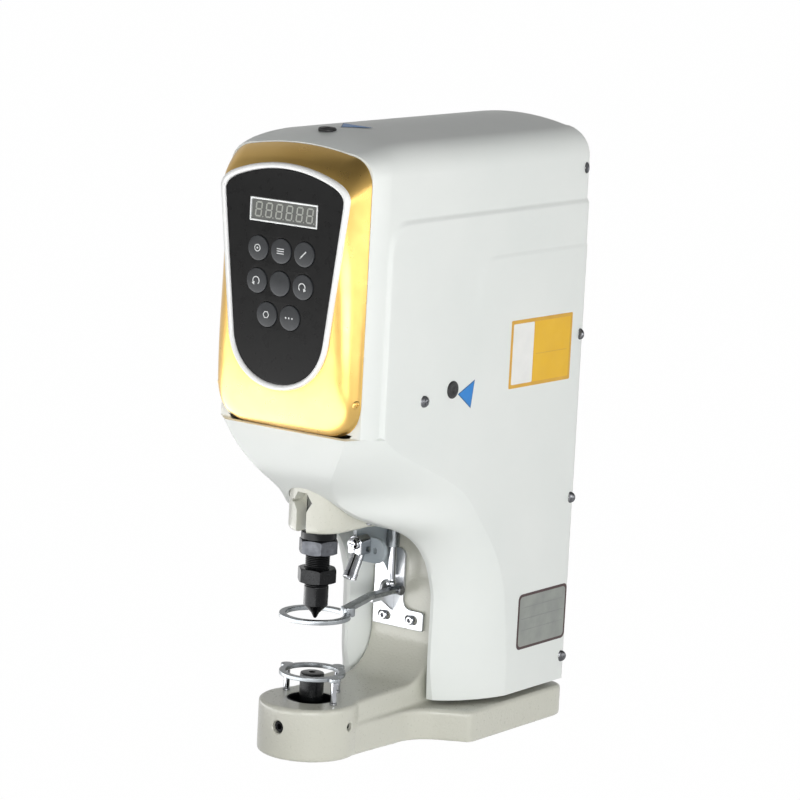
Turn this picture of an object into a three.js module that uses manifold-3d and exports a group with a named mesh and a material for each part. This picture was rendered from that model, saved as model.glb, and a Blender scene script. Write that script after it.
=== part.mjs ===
// Electric button press: a C-frame casting under a moulded shell, with a servo driven ram.
// Millimetres, +Z up, front towards -Y. The origin lies under the die axis, on the base's underside.
import * as THREE from 'three';
import { mergeVertices } from 'three/addons/utils/BufferGeometryUtils.js';
import Module from 'manifold-3d';

const wasm = await Module();
wasm.setup();

// ---- driving dimensions -------------------------------------------------------------------

// fits shared by all pieces
const gap = 0.3; // between touching pieces
const overrun = 2; // how far a cutter passes the face it cuts
const weld = 1e-3; // points nearer than this are one point
const ringSides = 36;
const roundSides = 24;
const smallSides = 16;
const tinySides = 12;

// frame casting
const noseRadius = 42;
const noseCentreY = -3;
const noseHeight = 45;
const plateHeight = 27;
const plateHalfWidth = 85;
const plateWaistHalf = 39.5;
const plateWaistY = 70;
const plateBendHalf = 41; // pull of the curve from the waist into the flare
const plateBendY = 93;
const plateFlareHalf = 60; // where the curve ends and the straight flare starts
const plateFlareY = 101.5;
const plateShoulderY = 116.5;
const plateRearY = 262;
const plateCornerRadius = 14;
const columnFrontY = 126;
const columnRearY = 200;
const columnHalfWidth = 34;
const footFillet = 36;
const throatFillet = 32;
const armBottomZ = 190;
const armTopZ = 300;
const headRadius = 26;
const headShoulderY = 36;
const headFlareY = 62;

// ram, its bush and the keyhole in the head
const ramRadius = 12.5;
const ramStroke = 40;
const ramSpare = 2; // ram left above the arm at the end of its stroke
const ramTopZ = armTopZ + ramStroke + ramSpare;
const ramRunning = 0.3;
const bushWall = 3.5;
const bushBottomZ = 226;
const bushTopZ = armTopZ - ramSpare;
const keyholeWidth = 10.2;
const keyholeHexAcross = 16.5;
const keyholeHexZ = 216;
const keyholeDepth = 14;
const pinholeRadius = 1.6;
const pinholeX = -10.2;
const screwTipRoom = 5; // below the drive screw's end, inside the ram

// upper tool: threaded shank, collar and two nuts
const dieRadius = 10.3;
const dieTipZ = 113.5;
const dieConeHeight = 11.5;
const dieTipShares = [0.3, 0.42]; // radius and height where the cone blunts
const dieShankDepth = 24; // into the ram
const nutAcross = 30;
const nutHeight = 12;
const nutChamfer = 1.6;
const lowerNutZ = 145;
const upperNutZ = 169.5;
const collarRadius = 15;
const collarHeight = 7;

// lower tool in the nose
const lowerDieRadius = 10.2;
const lowerDieTopZ = 67;
const lowerDieEdge = 1.2;
const lowerDieSeatZ = 9;
const lowerDieDimple = 2.2;
const recessRadius = 20.5;
const recessDepth = 11;
const setScrewZ = 27.5;
const frontScrewRadius = 5.2;
const sideScrewRadius = 3.1;
const setScrewInset = 3;
const setScrewSocket = 3;
const socketShare = 0.48; // of a screw's or head's radius

// lower guard ring on its posts
const fenceOuter = 28;
const fenceInner = 22.5;
const fenceThickness = 3.5;
const fenceTopZ = 68.5;
const fenceTabRadius = 5.5;
const postCircle = 29.5;
const postRadius = 2.65;
const postAngles = { left: 173, right: 346, rear: 80 }; // degrees round the die axis

// upper guard: ring, arm and pivot
const ringOuter = 30.2;
const ringInner = 24.5;
const ringBottomZ = 114.2;
const ringThickness = 3.8;
const armWidth = 9;
const armRootRadius = 6.3;
const armThickness = 4;
const armRootX = 16;
const armRootY = 24;
const armBendY = 78;
const pivotY = 114.5;
const pivotBossRadius = 4;
const pivotPinRadius = 2.5;
const pinHeadRadius = 4.2;
const pinHeadThickness = 2.2;

// angle bracket that carries the guard
const angleThickness = 3;
const angleFootLeftX = -29.5;
const angleFootRightX = 24;
const angleFootBottomZ = 85;
const angleFootTopZ = 102;
const angleUprightRightX = 2;
const angleUprightTopZ = 155;
const angleFillet = 7;
const angleCornerRadius = 2;
const earRightX = -8;
const earFrontY = 92;
const earBottomZ = 110;
const earNoseHeight = 7;
const earCrownRadius = 7.5;
const earNeckY = 103;
const slotLength = 13;
const slotRadius = 3.4;
const slotInset = 12.5; // slot centre from the foot's ends
const capScrewHead = 4.6;
const capScrewShank = 2.6;
const capScrewHeadHeight = 3.2;
const capScrewDepth = 12;
const capScrewSocket = 2.2;
const capScrewCrownShares = [0.8, 0.6]; // radius and height where the head's edge turns

// lift rod from the guard up into the solenoid
const rodY = 107;
const rodRadius = 3.4;
const rodBallRadius = 4.5;
const rodRise = 34; // rod standing above the arm
const rodTopZ = armTopZ + rodRise;
const rodRunning = 0.4;
const glandRadius = 5.6;
const glandBottomZ = 159;
const glandLength = 44;
const coilHalf = 17;
const coilHeight = 44;

// lamp and its bracket
const lampPlateThickness = 4;
const lampWebX = -10.2;
const lampBarFrontY = 62;
const lampBarRightX = 13;
const lampBarZ = 164;
const lampBarHalfHeight = 11;
const lampHoleRadius = 2.6;
const lampHookTipY = 117;
const lampHookTipZ = 130;
const lampHookDepth = 16;
const lampPivotX = 3;
const lampPivotZ = 171;
const lampBlockHalf = 6.2;
const lampBlockDepth = 15;
const lampSocketDepth = 3;
const lampScrewRadius = 2.4;
const lampScrewHead = 5.4;
const lampScrewHeadHeight = 3.4;
const lampRadius = 4.4;
const lampLength = 27;
const lampCapLength = 6;
const lampCapProud = 0.7;
const lampTilt = 29; // degrees from upright

// moulded shell
const shellHalfWidth = 80;
const shellWall = 3.2;
const shellBottomZ = 31;
const shellCrown = 6;
const shellShoulderRadius = 26;
const shellRearY = 263;
const shellRearRadius = 8;
const shellFrontY = -47;
const shellFrontHalf = 72;
const shellFrontShoulderY = -28;
const shellBrowDrop = 10;
const shellBrowY = 12;
const chinFrontY = -54;
const chinStep = 1.5; // height of the ledge under the bezel
const throatEdgeY = 112;
const throatShoulderY = 172;
const castingClearance = 0.8; // between the shell's edge and the casting
const raisedProud = 3; // raised field on each side
const raisedFrontY = -28;
const raisedRadius = 26;
const raisedSlope = 4;
const frontWindowHalf = 56;
const frontWindowMargin = 26;
const frontWindowDepth = 10;
const topHoleDepth = 12;
const returnHalf = 42.8; // half width between the walls that turn in at the throat
const returnBendY = 106; // where they start to slant in to the column
const returnColumnY = 121;
const returnRearY = 150; // where they end

// height, forward reach, front half width and shoulder place of the shell's sections,
// as shares of its lower height, of the throat's depth, of its half width and of the shoulder's run
const shellSectionShares = [
  [0.000, 0.000, 0.575, 0.000],
  [0.118, 0.039, 0.575, 0.000],
  [0.375, 0.034, 0.575, 0.045],
  [0.491, 0.095, 0.575, 0.105],
  [0.567, 0.193, 0.575, 0.170],
  [0.615, 0.301, 0.575, 0.225],
  [0.647, 0.446, 0.575, 0.260],
  [0.671, 0.560, 0.540, 0.285],
  [0.703, 0.675, 0.450, 0.315],
  [0.739, 0.747, 0.363, 0.360],
  [0.768, 0.795, 0.325, 0.400],
  [0.800, 0.855, 0.375, 0.470],
  [0.840, 0.910, 0.475, 0.580],
  [0.888, 0.952, 0.588, 0.710],
  [0.944, 0.982, 0.700, 0.885],
  [1.000, 1.000, 0.775, 0.980],
];
const flareSteps = 5;
const flareRoundShare = 0.5; // how much of the flare is round rather than straight

// rear panel, switch and cable gland
const rearPanelThickness = 2.5;
const rearPanelInset = 1;
const ventLength = 60;
const ventWidth = 4;
const ventPitch = 10;
const ventCount = 6;
const switchZ = 150;
const switchX = -40;
const switchHalfWidth = 10.5;
const switchHalfHeight = 15;
const switchFlange = 2;
const switchDepth = 18;
const rockerThrow = 2.2;
const cableX = 40;
const cableRadius = 8;
const cableLength = 16;
const cableFlange = 12;
const cableBore = 4;
const glandTaperShares = [0.9, 0.5, 1.6]; // flange rim, its height and the sleeve's end

// bezel, lip and keypad
const bezelRearHalf = 72;
const bezelFrontHalf = 66;
const bezelDepth = 20;
const bezelCornerRadius = 20;
const bezelTopCrown = 5;
const panelCrown = 9;
const panelTopHalf = 60;
const panelWaistHalf = 47;
const panelCornerRadius = 13;
const panelFootShares = [0.92, 0.65, 0.5]; // pull of the foot's curve, out, down and in
const panelThickness = 4;
const panelRecess = 2; // panel face behind the lip's face
const panelSeat = 6; // how far the panel overlaps the bezel's rim
const lipWidth = 6.4;
const lipProud = 3.4;
const displayHalfWidth = 34.5;
const displayHalfHeight = 9.7;
const displaySink = 0.6;
const keyRadius = 10.3;
const keyClearance = 0.35;
const keyProud = 1.6;
const keyDome = 0.9;
const keyCrownShares = [0.7, 0.3]; // radius and fall where the crown turns
const keyTravel = 1.2;
const keyFlange = 1.1;
const keyFlangeThickness = 1.4;
const keyPitch = 23.5;
const keyRowPitch = 26.6;
const keyStem = 3;
const keySides = 16;
const boardThickness = 1.6;
const boardHalfWidth = 46;

// drive above the ram
const nutHousingRadius = 19;
const nutHousingHeight = 24;
const screwRadius = 7.5;
const screwRunning = 0.5;
const screwInRam = 50; // length of drive screw below the ram's top
const couplingRadius = 14;
const couplingHeight = 15;
const bridgeHalfWidth = 38;
const bridgeHalfDepth = 28;
const bridgeWall = 8;
const nutHeadroom = 6;
const bridgePlateZ = ramTopZ + nutHousingHeight + nutHeadroom;
const bridgePlateThickness = 18;
const couplingRoom = 22;
const bridgeTopZ = bridgePlateZ + bridgePlateThickness + couplingRoom;
const motorShaftLength = 6;
const bearingOuter = 17;
const bearingHeight = 12;
const motorHalf = 37;
const motorHeight = 94;
const motorCorner = 6;
const motorSpigot = 6;
const motorHeadroom = 20;
const screwBottomZ = ramTopZ - screwInRam;
const screwShankTopZ = bridgeTopZ + motorShaftLength;

// servo drive on the back of the column
const driveHalfWidth = 48;
const driveDepth = 44;
const driveBottomZ = 190;
const driveTopZ = 345;
const driveFins = 7;
const driveFinDepth = 10;
const driveFinShare = 0.45; // of the fin pitch that is metal

// side fasteners and oil plugs
const panScrewHead = 5;
const panScrewHeadHeight = 2.6;
const panScrewShank = 2.4;
const panScrewLength = 11;
const panScrewSlot = 1.2;
const panScrewCrownShares = [[1, 0.4], [0.75, 0.85], [0.3, 1]]; // of the head's radius and height
const panScrewCrossShares = [0.55, 0.5]; // reach and depth of the cross
const rearScrewInset = 6;
const frontScrewY = 28;
const plugRadius = 7.5;
const plugProud = 1.6;
const plugStem = 6;
const plugDimple = 2.6;
const plugRimShares = [0.8, 0.6]; // radius and height where the rim turns
const sidePlugY = 68;
const topPlugY = -15;

// heights of the shell and the keypad head, hung from the top of the drive
const shellTopZ = bridgeTopZ + motorHeight + motorHeadroom;
const raisedTopDrop = 68;
const raisedTopZ = shellTopZ - raisedTopDrop;
const ventDrop = 126;
const ventBottomZ = shellTopZ - ventDrop;
const rearScrewShares = [0.042, 0.331, 0.624, 0.917]; // of the shell's height
const rearScrewZs = rearScrewShares.map((share) => shellBottomZ + share * (shellTopZ - shellBottomZ));
const bezelTopDrop = 11;
const bezelTopZ = shellTopZ - bezelTopDrop;
const bezelTopDraw = 10; // how far the top draws in towards the front
const bezelFrontTopZ = bezelTopZ - bezelTopDraw;
const panelTopDrop = 10;
const panelTopZ = bezelFrontTopZ - panelTopDrop;
const panelWaistDrop = 137;
const panelWaistZ = panelTopZ - panelWaistDrop;
const panelHeight = 175;
const panelBottomZ = panelTopZ - panelHeight;
const bezelFootHeight = 39;
const bezelBottomZ = panelBottomZ - bezelFootHeight;
const bezelBottomDraw = 5;
const bezelFrontBottomZ = bezelBottomZ + bezelBottomDraw;
const displayDrop = 34.8;
const displayZ = panelTopZ - displayDrop;
const keyTopDrop = 31.4;
const keyTopZ = displayZ - keyTopDrop;
const boardRise = 21.8; // above the display's middle
const boardTopZ = displayZ + boardRise;
const boardHeight = 120;
const boardBottomZ = boardTopZ - boardHeight;
const chinGap = 1;
const chinTopZ = bezelBottomZ - chinGap;
const raisedFade = 18; // how far the raised field runs on below the chin's top
const raisedBottomZ = chinTopZ - raisedFade;
const frontScrewRise = 26;
const frontScrewZ = chinTopZ + frontScrewRise;
const sidePlugRise = 31.5;
const sidePlugZ = chinTopZ + sidePlugRise;

// ---- materials ------------------------------------------------------------------------------

function material(color, roughness, metalness) {
  return new THREE.MeshStandardMaterial({ color, roughness, metalness });
}

const castingPaint = material(0xcdcfc0, 0.45, 0.1);
const shellPlastic = material(0xe4e6e2, 0.4, 0);
const goldPaint = material(0xb9924a, 0.3, 0.75);
const panelPlastic = material(0x2d2d2b, 0.5, 0);
const keyPlastic = material(0x3c3f42, 0.45, 0);
const displayGlass = material(0x8b8d8a, 0.2, 0);
const chrome = material(0xd8dadc, 0.12, 1);
const blackSteel = material(0x1c1d1f, 0.35, 0.8);
const greySteel = material(0x8f9296, 0.4, 0.8);
const greyPaint = material(0xa3acb0, 0.45, 0.2);
const aluminium = material(0xb4b8bb, 0.4, 0.9);
const bronze = material(0xb08a4e, 0.35, 0.9);
const rubber = material(0x151515, 0.8, 0);
const circuit = material(0x1f5a36, 0.5, 0);
const motorPaint = material(0x202224, 0.5, 0.3);

// ---- shapes ---------------------------------------------------------------------------------

function solid(geometry) {
  const plain = geometry.clone();
  plain.deleteAttribute('normal');
  plain.deleteAttribute('uv');
  const merged = mergeVertices(plain, 1e-4);
  return new wasm.Manifold(new wasm.Mesh({
    numProp: 3,
    vertProperties: new Float32Array(merged.attributes.position.array),
    triVerts: new Uint32Array(merged.index.array),
  }));
}

function geometryOf(body) {
  const { vertProperties, triVerts } = body.getMesh();
  const geometry = new THREE.BufferGeometry();
  geometry.setAttribute('position', new THREE.BufferAttribute(new Float32Array(vertProperties), 3));
  geometry.setIndex(new THREE.BufferAttribute(new Uint32Array(triVerts), 1));
  return geometry;
}

// a closed outline through corners [u, v, radius]; a corner with a radius is rounded
function outline(corners) {
  const shape = new THREE.Shape();
  const points = corners.map(([u, v]) => new THREE.Vector2(u, v));
  corners.forEach(([, , radius = 0], i) => {
    const here = points[i];
    const before = points[(i + points.length - 1) % points.length];
    const after = points[(i + 1) % points.length];
    const toBefore = before.clone().sub(here).normalize();
    const toAfter = after.clone().sub(here).normalize();
    const reach = radius / Math.tan(Math.acos(toBefore.dot(toAfter)) / 2);
    const start = here.clone().addScaledVector(toBefore, radius ? reach : 0);
    const end = here.clone().addScaledVector(toAfter, radius ? reach : 0);
    if (i === 0) shape.moveTo(start.x, start.y);
    else shape.lineTo(start.x, start.y);
    if (radius) shape.quadraticCurveTo(here.x, here.y, end.x, end.y);
  });
  return shape;
}

function extrude(shape, depth, curveSegments = 6, steps = 1) {
  const points = shape.getPoints(curveSegments)
    .filter((point, i, all) => point.distanceTo(all[(i + 1) % all.length]) > weld);
  return new THREE.ExtrudeGeometry(new THREE.Shape(points), { depth, steps, bevelEnabled: false });
}

// outline in X and Y, standing from bottom to top
function planPrism(shape, bottom, top, curveSegments, steps) {
  return extrude(shape, top - bottom, curveSegments, steps).translate(0, 0, bottom);
}

// outline in Y and Z, from one X to another
function sidePrism(shape, left, right, curveSegments) {
  const turn = new THREE.Matrix4().makeBasis(
    new THREE.Vector3(0, 1, 0), new THREE.Vector3(0, 0, 1), new THREE.Vector3(1, 0, 0));
  return extrude(shape, right - left, curveSegments).applyMatrix4(turn).translate(left, 0, 0);
}

// outline in X and Z, from one Y to another
function frontPrism(shape, front, rear, curveSegments, steps) {
  return extrude(shape, rear - front, curveSegments, steps).rotateX(Math.PI / 2).translate(0, rear, 0);
}

function box(x0, x1, y0, y1, z0, z1) {
  return new THREE.BoxGeometry(x1 - x0, y1 - y0, z1 - z0)
    .translate((x0 + x1) / 2, (y0 + y1) / 2, (z0 + z1) / 2);
}

function uprightRod(radius, bottom, top, x = 0, y = 0, sides = roundSides) {
  return new THREE.CylinderGeometry(radius, radius, top - bottom, sides)
    .rotateX(Math.PI / 2).translate(x, y, (bottom + top) / 2);
}

function frontRod(radius, front, rear, x, z, sides = smallSides) {
  return new THREE.CylinderGeometry(radius, radius, rear - front, sides)
    .translate(x, (front + rear) / 2, z);
}

function sideRod(radius, left, right, y, z, sides = smallSides) {
  return new THREE.CylinderGeometry(radius, radius, right - left, sides)
    .rotateZ(Math.PI / 2).translate((left + right) / 2, y, z);
}

// profile [radius, height] turned round the Z axis
function turned(profile, sides = roundSides) {
  const points = profile.map(([radius, height]) => new THREE.Vector2(radius, height));
  return new THREE.LatheGeometry(points, sides).rotateX(Math.PI / 2);
}

function ring(outer, inner, bottom, top, sides = roundSides) {
  return turned([[inner, bottom], [outer, bottom], [outer, top], [inner, top], [inner, bottom]], sides);
}

function moveVertices(geometry, place) {
  const position = geometry.attributes.position;
  const point = new THREE.Vector3();
  for (let i = 0; i < position.count; i += 1) {
    place(point.fromBufferAttribute(position, i));
    position.setXYZ(i, point.x, point.y, point.z);
  }
  return geometry;
}

function hexPrism(across, bottom, top) {
  return new THREE.CylinderGeometry(across / Math.sqrt(3), across / Math.sqrt(3), top - bottom, 6)
    .rotateX(Math.PI / 2).translate(0, 0, (bottom + top) / 2);
}

const model = new THREE.Group();

function add(name, shape, look, parent = model) {
  const mesh = new THREE.Mesh(shape.isBufferGeometry ? shape : geometryOf(shape), look);
  mesh.name = name;
  parent.add(mesh);
  return mesh;
}

// ---- frame casting --------------------------------------------------------------------------

function nosePlan(frontRadius, frontY, rearCorners) {
  const shape = new THREE.Shape();
  shape.moveTo(frontRadius, frontY);
  rearCorners.forEach(([x, y]) => shape.lineTo(x, y));
  rearCorners.toReversed().forEach(([x, y]) => shape.lineTo(-x, y));
  shape.lineTo(-frontRadius, frontY);
  shape.absarc(0, frontY, frontRadius, Math.PI, 2 * Math.PI, false);
  return shape;
}

function headPlan(grow) {
  const half = columnHalfWidth + grow;
  return nosePlan(headRadius + grow, 0,
    [[headRadius + grow, headShoulderY], [half, headFlareY], [half, columnRearY + grow]]);
}

function castingSolid() {
  const rear = plateRearY - plateCornerRadius;
  const plate = new THREE.Shape();
  plate.moveTo(plateWaistHalf, 0);
  plate.lineTo(plateWaistHalf, plateWaistY);
  plate.quadraticCurveTo(plateBendHalf, plateBendY, plateFlareHalf, plateFlareY);
  plate.lineTo(plateHalfWidth, plateShoulderY);
  plate.lineTo(plateHalfWidth, rear);
  plate.quadraticCurveTo(plateHalfWidth, plateRearY, plateHalfWidth - plateCornerRadius, plateRearY);
  plate.lineTo(plateCornerRadius - plateHalfWidth, plateRearY);
  plate.quadraticCurveTo(-plateHalfWidth, plateRearY, -plateHalfWidth, rear);
  plate.lineTo(-plateHalfWidth, plateShoulderY);
  plate.lineTo(-plateFlareHalf, plateFlareY);
  plate.quadraticCurveTo(-plateBendHalf, plateBendY, -plateWaistHalf, plateWaistY);
  plate.lineTo(-plateWaistHalf, 0);

  // web, column and arm in one C-shaped side outline; the head's plan trims the arm
  const frame = new THREE.Shape();
  frame.moveTo(0, overrun);
  frame.lineTo(0, noseHeight);
  frame.absarc(columnFrontY - footFillet, noseHeight + footFillet, footFillet, -Math.PI / 2, 0, false);
  frame.absarc(columnFrontY - throatFillet, armBottomZ - throatFillet, throatFillet, 0, Math.PI / 2, false);
  frame.lineTo(-noseRadius, armBottomZ);
  frame.lineTo(-noseRadius, armTopZ);
  frame.lineTo(columnRearY, armTopZ);
  frame.lineTo(columnRearY, overrun);

  const throatZ = armBottomZ - throatFillet;
  const limits = solid(box(-columnHalfWidth, columnHalfWidth, 0, columnRearY, 0, throatZ))
    .add(solid(planPrism(headPlan(0), throatZ, armTopZ + overrun, 12)));
  let casting = solid(planPrism(plate, 0, plateHeight, 6))
    .add(solid(uprightRod(noseRadius, 0, noseHeight, 0, noseCentreY, ringSides)))
    .add(solid(sidePrism(frame, -noseRadius, noseRadius, 8)).intersect(limits));

  // bores for the ram, its bush and the lift rod
  const rodBore = glandRadius + gap;
  const seat = lowerDieRadius + gap;
  const cuts = [
    uprightRod(ramRadius + ramRunning, armBottomZ - overrun, armTopZ + overrun),
    uprightRod(ramRadius + ramRunning + bushWall + gap, bushBottomZ, armTopZ + overrun),
    uprightRod(rodBore, glandBottomZ, armTopZ + overrun, 0, rodY, smallSides),
    box(-keyholeWidth / 2, keyholeWidth / 2, -headRadius - overrun, 0, armBottomZ - overrun,
      keyholeHexZ),
    hexPrism(keyholeHexAcross, 0, headRadius).rotateX(Math.PI / 2)
      .translate(0, keyholeDepth - headRadius, keyholeHexZ),
    frontRod(pinholeRadius, -headRadius - overrun, keyholeDepth - headRadius, pinholeX, keyholeHexZ, tinySides),
    uprightRod(recessRadius, noseHeight - recessDepth, noseHeight + overrun, 0, 0, ringSides),
    uprightRod(seat, lowerDieSeatZ, noseHeight),
    frontRod(frontScrewRadius + gap, noseCentreY - noseRadius - overrun, 0, 0, setScrewZ),
    sideRod(sideScrewRadius + gap, 0, noseRadius + overrun, 0, setScrewZ),
  ];
  const footMiddle = (angleFootBottomZ + angleFootTopZ) / 2;
  for (const x of [angleFootLeftX + slotInset, angleFootRightX - slotInset]) {
    cuts.push(frontRod(capScrewShank + gap, columnFrontY - overrun, columnFrontY + capScrewDepth, x,
      footMiddle, tinySides));
  }
  for (const cut of cuts) casting = casting.subtract(solid(cut));
  return casting;
}

add('frame_casting', castingSolid(), castingPaint);

// ---- ram and upper tool ---------------------------------------------------------------------

const press = new THREE.Group();
model.add(press);
const ramBottomZ = upperNutZ + nutHeight + collarHeight + 2 * gap;
const shankTopZ = ramBottomZ + dieShankDepth;

function ramProfile() {
  const socket = dieRadius + gap;
  const bore = screwRadius + screwRunning;
  const boreBottom = screwBottomZ - screwTipRoom;
  return [[0, shankTopZ + gap], [socket, shankTopZ + gap], [socket, ramBottomZ], [ramRadius, ramBottomZ],
    [ramRadius, ramTopZ], [bore, ramTopZ], [bore, boreBottom], [0, boreBottom]];
}

function nutSolid(bottom) {
  const corner = nutAcross / Math.sqrt(3);
  const top = bottom + nutHeight;
  const barrel = turned([[0, bottom], [corner - nutChamfer, bottom], [corner, bottom + nutChamfer / 2],
    [corner, top - nutChamfer / 2], [corner - nutChamfer, top], [0, top]]);
  return solid(hexPrism(nutAcross, bottom, top).rotateZ(Math.PI / 12)).intersect(solid(barrel))
    .subtract(solid(uprightRod(dieRadius + gap, bottom - overrun, top + overrun)));
}

function upperDieProfile() {
  const coneTop = dieTipZ + dieConeHeight;
  const [wide, tall] = dieTipShares;
  return [[0, dieTipZ], [wide * dieRadius, dieTipZ + tall * dieConeHeight], [dieRadius, coneTop],
    [dieRadius, shankTopZ], [0, shankTopZ]];
}

add('ram_bush', ring(ramRadius + ramRunning + bushWall, ramRadius + ramRunning, bushBottomZ + gap, bushTopZ),
  bronze);
add('ram', turned(ramProfile()), chrome, press);
add('upper_die', turned(upperDieProfile()), blackSteel, press);
add('lower_lock_nut', nutSolid(lowerNutZ), blackSteel, press);
add('upper_lock_nut', nutSolid(upperNutZ), blackSteel, press);
add('die_collar', ring(collarRadius, dieRadius + gap, upperNutZ + nutHeight + gap,
  upperNutZ + nutHeight + gap + collarHeight), blackSteel, press);

// ---- drive above the ram --------------------------------------------------------------------

const nutHousingZ = ramTopZ + gap;

function bridgeSolid() {
  const inner = bridgeHalfWidth - bridgeWall;
  const bottom = armTopZ + gap;
  const plateTop = bridgePlateZ + bridgePlateThickness;
  let bridge = solid(box(-bridgeHalfWidth, bridgeHalfWidth, -bridgeHalfDepth, bridgeHalfDepth,
    bottom, bridgeTopZ));
  const openDepth = bridgeHalfDepth + overrun;
  bridge = bridge.subtract(solid(box(-inner, inner, -openDepth, openDepth, bottom - overrun, bridgePlateZ)));
  bridge = bridge.subtract(solid(box(-inner, inner, -openDepth, openDepth, plateTop, bridgeTopZ + overrun)));
  bridge = bridge.subtract(solid(uprightRod(screwRadius + overrun, bridgePlateZ - overrun, plateTop)));
  return bridge.subtract(solid(uprightRod(bearingOuter + gap, plateTop - bearingHeight, plateTop + overrun)));
}

function screwProfile() {
  const bearingTop = bridgePlateZ + bridgePlateThickness;
  const couplingBottom = bearingTop + 2 * gap;
  return [[0, screwBottomZ], [screwRadius, screwBottomZ], [screwRadius, couplingBottom],
    [couplingRadius, couplingBottom], [couplingRadius, couplingBottom + couplingHeight],
    [screwRadius, couplingBottom + couplingHeight], [screwRadius, screwShankTopZ - gap],
    [0, screwShankTopZ - gap]];
}

add('thrust_bridge', bridgeSolid(), greySteel);
add('screw_bearing', ring(bearingOuter, screwRadius + gap,
  bridgePlateZ + bridgePlateThickness - bearingHeight + gap, bridgePlateZ + bridgePlateThickness), greySteel);
add('ball_nut', ring(nutHousingRadius, screwRadius + screwRunning, nutHousingZ,
  nutHousingZ + nutHousingHeight), greySteel, press);
add('drive_screw', turned(screwProfile(), smallSides), greySteel);

const motorShape = outline([[-motorHalf, -motorHalf, motorCorner], [motorHalf, -motorHalf, motorCorner],
  [motorHalf, motorHalf, motorCorner], [-motorHalf, motorHalf, motorCorner]]);
add('servo_motor', solid(planPrism(motorShape, bridgeTopZ + gap, bridgeTopZ + gap + motorHeight))
  .subtract(solid(uprightRod(screwRadius + screwRunning, bridgeTopZ - overrun, screwShankTopZ + motorSpigot))),
motorPaint);

function driveSolid() {
  const front = columnRearY + gap;
  const rear = front + driveDepth;
  let drive = solid(box(-driveHalfWidth, driveHalfWidth, front, rear, driveBottomZ, driveTopZ));
  const pitch = 2 * driveHalfWidth / driveFins;
  const slot = pitch * (1 - driveFinShare);
  for (let i = 0; i < driveFins; i += 1) {
    const x = -driveHalfWidth + (i + 0.5) * pitch;
    drive = drive.subtract(solid(box(x - slot / 2, x + slot / 2, rear - driveFinDepth, rear + overrun,
      driveBottomZ - overrun, driveTopZ + overrun)));
  }
  return drive;
}

add('servo_drive', driveSolid(), aluminium);

// ---- lower tool and its guard ring ----------------------------------------------------------

const dieFoot = lowerDieSeatZ + gap;
add('lower_die', turned([[0, dieFoot], [lowerDieRadius, dieFoot],
  [lowerDieRadius, lowerDieTopZ - lowerDieEdge], [lowerDieRadius - lowerDieEdge, lowerDieTopZ],
  [lowerDieDimple, lowerDieTopZ], [0, lowerDieTopZ - lowerDieDimple]]), blackSteel);

function grubScrew(radius, length) {
  const socket = socketShare * radius;
  return solid(frontRod(radius, 0, length, 0, 0))
    .subtract(solid(new THREE.CylinderGeometry(socket, socket, 2 * setScrewSocket, 6)));
}

const frontScrewStart = noseCentreY - noseRadius + setScrewInset;
const dieSide = lowerDieRadius + gap;
add('front_set_screw', geometryOf(grubScrew(frontScrewRadius, -dieSide - frontScrewStart))
  .translate(0, frontScrewStart, setScrewZ), blackSteel);
add('side_set_screw', geometryOf(grubScrew(sideScrewRadius, noseRadius - setScrewInset - dieSide))
  .rotateZ(Math.PI / 2).translate(noseRadius - setScrewInset, 0, setScrewZ), blackSteel);

function postPlace(name) {
  const angle = THREE.MathUtils.degToRad(postAngles[name]);
  return [postCircle * Math.cos(angle), postCircle * Math.sin(angle)];
}

function fenceSolid() {
  const bottom = fenceTopZ - fenceThickness;
  let fence = solid(ring(fenceOuter, fenceInner, bottom, fenceTopZ, ringSides));
  for (const name of Object.keys(postAngles)) {
    fence = fence.add(solid(uprightRod(fenceTabRadius, bottom, fenceTopZ, ...postPlace(name), smallSides)));
  }
  return fence.subtract(solid(uprightRod(fenceInner, bottom - overrun, fenceTopZ + overrun, 0, 0,
    ringSides)));
}

add('lower_guard_ring', fenceSolid(), chrome);
for (const name of Object.keys(postAngles)) {
  add(`guard_post_${name}`, uprightRod(postRadius, noseHeight + gap, fenceTopZ - fenceThickness - gap,
    ...postPlace(name), tinySides), chrome);
}

// ---- upper guard: bracket, arm, pivot and lift rod ------------------------------------------

const armTop = ringBottomZ + ringThickness + armThickness;
const pivotZ = armTop - armThickness / 2;

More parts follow.
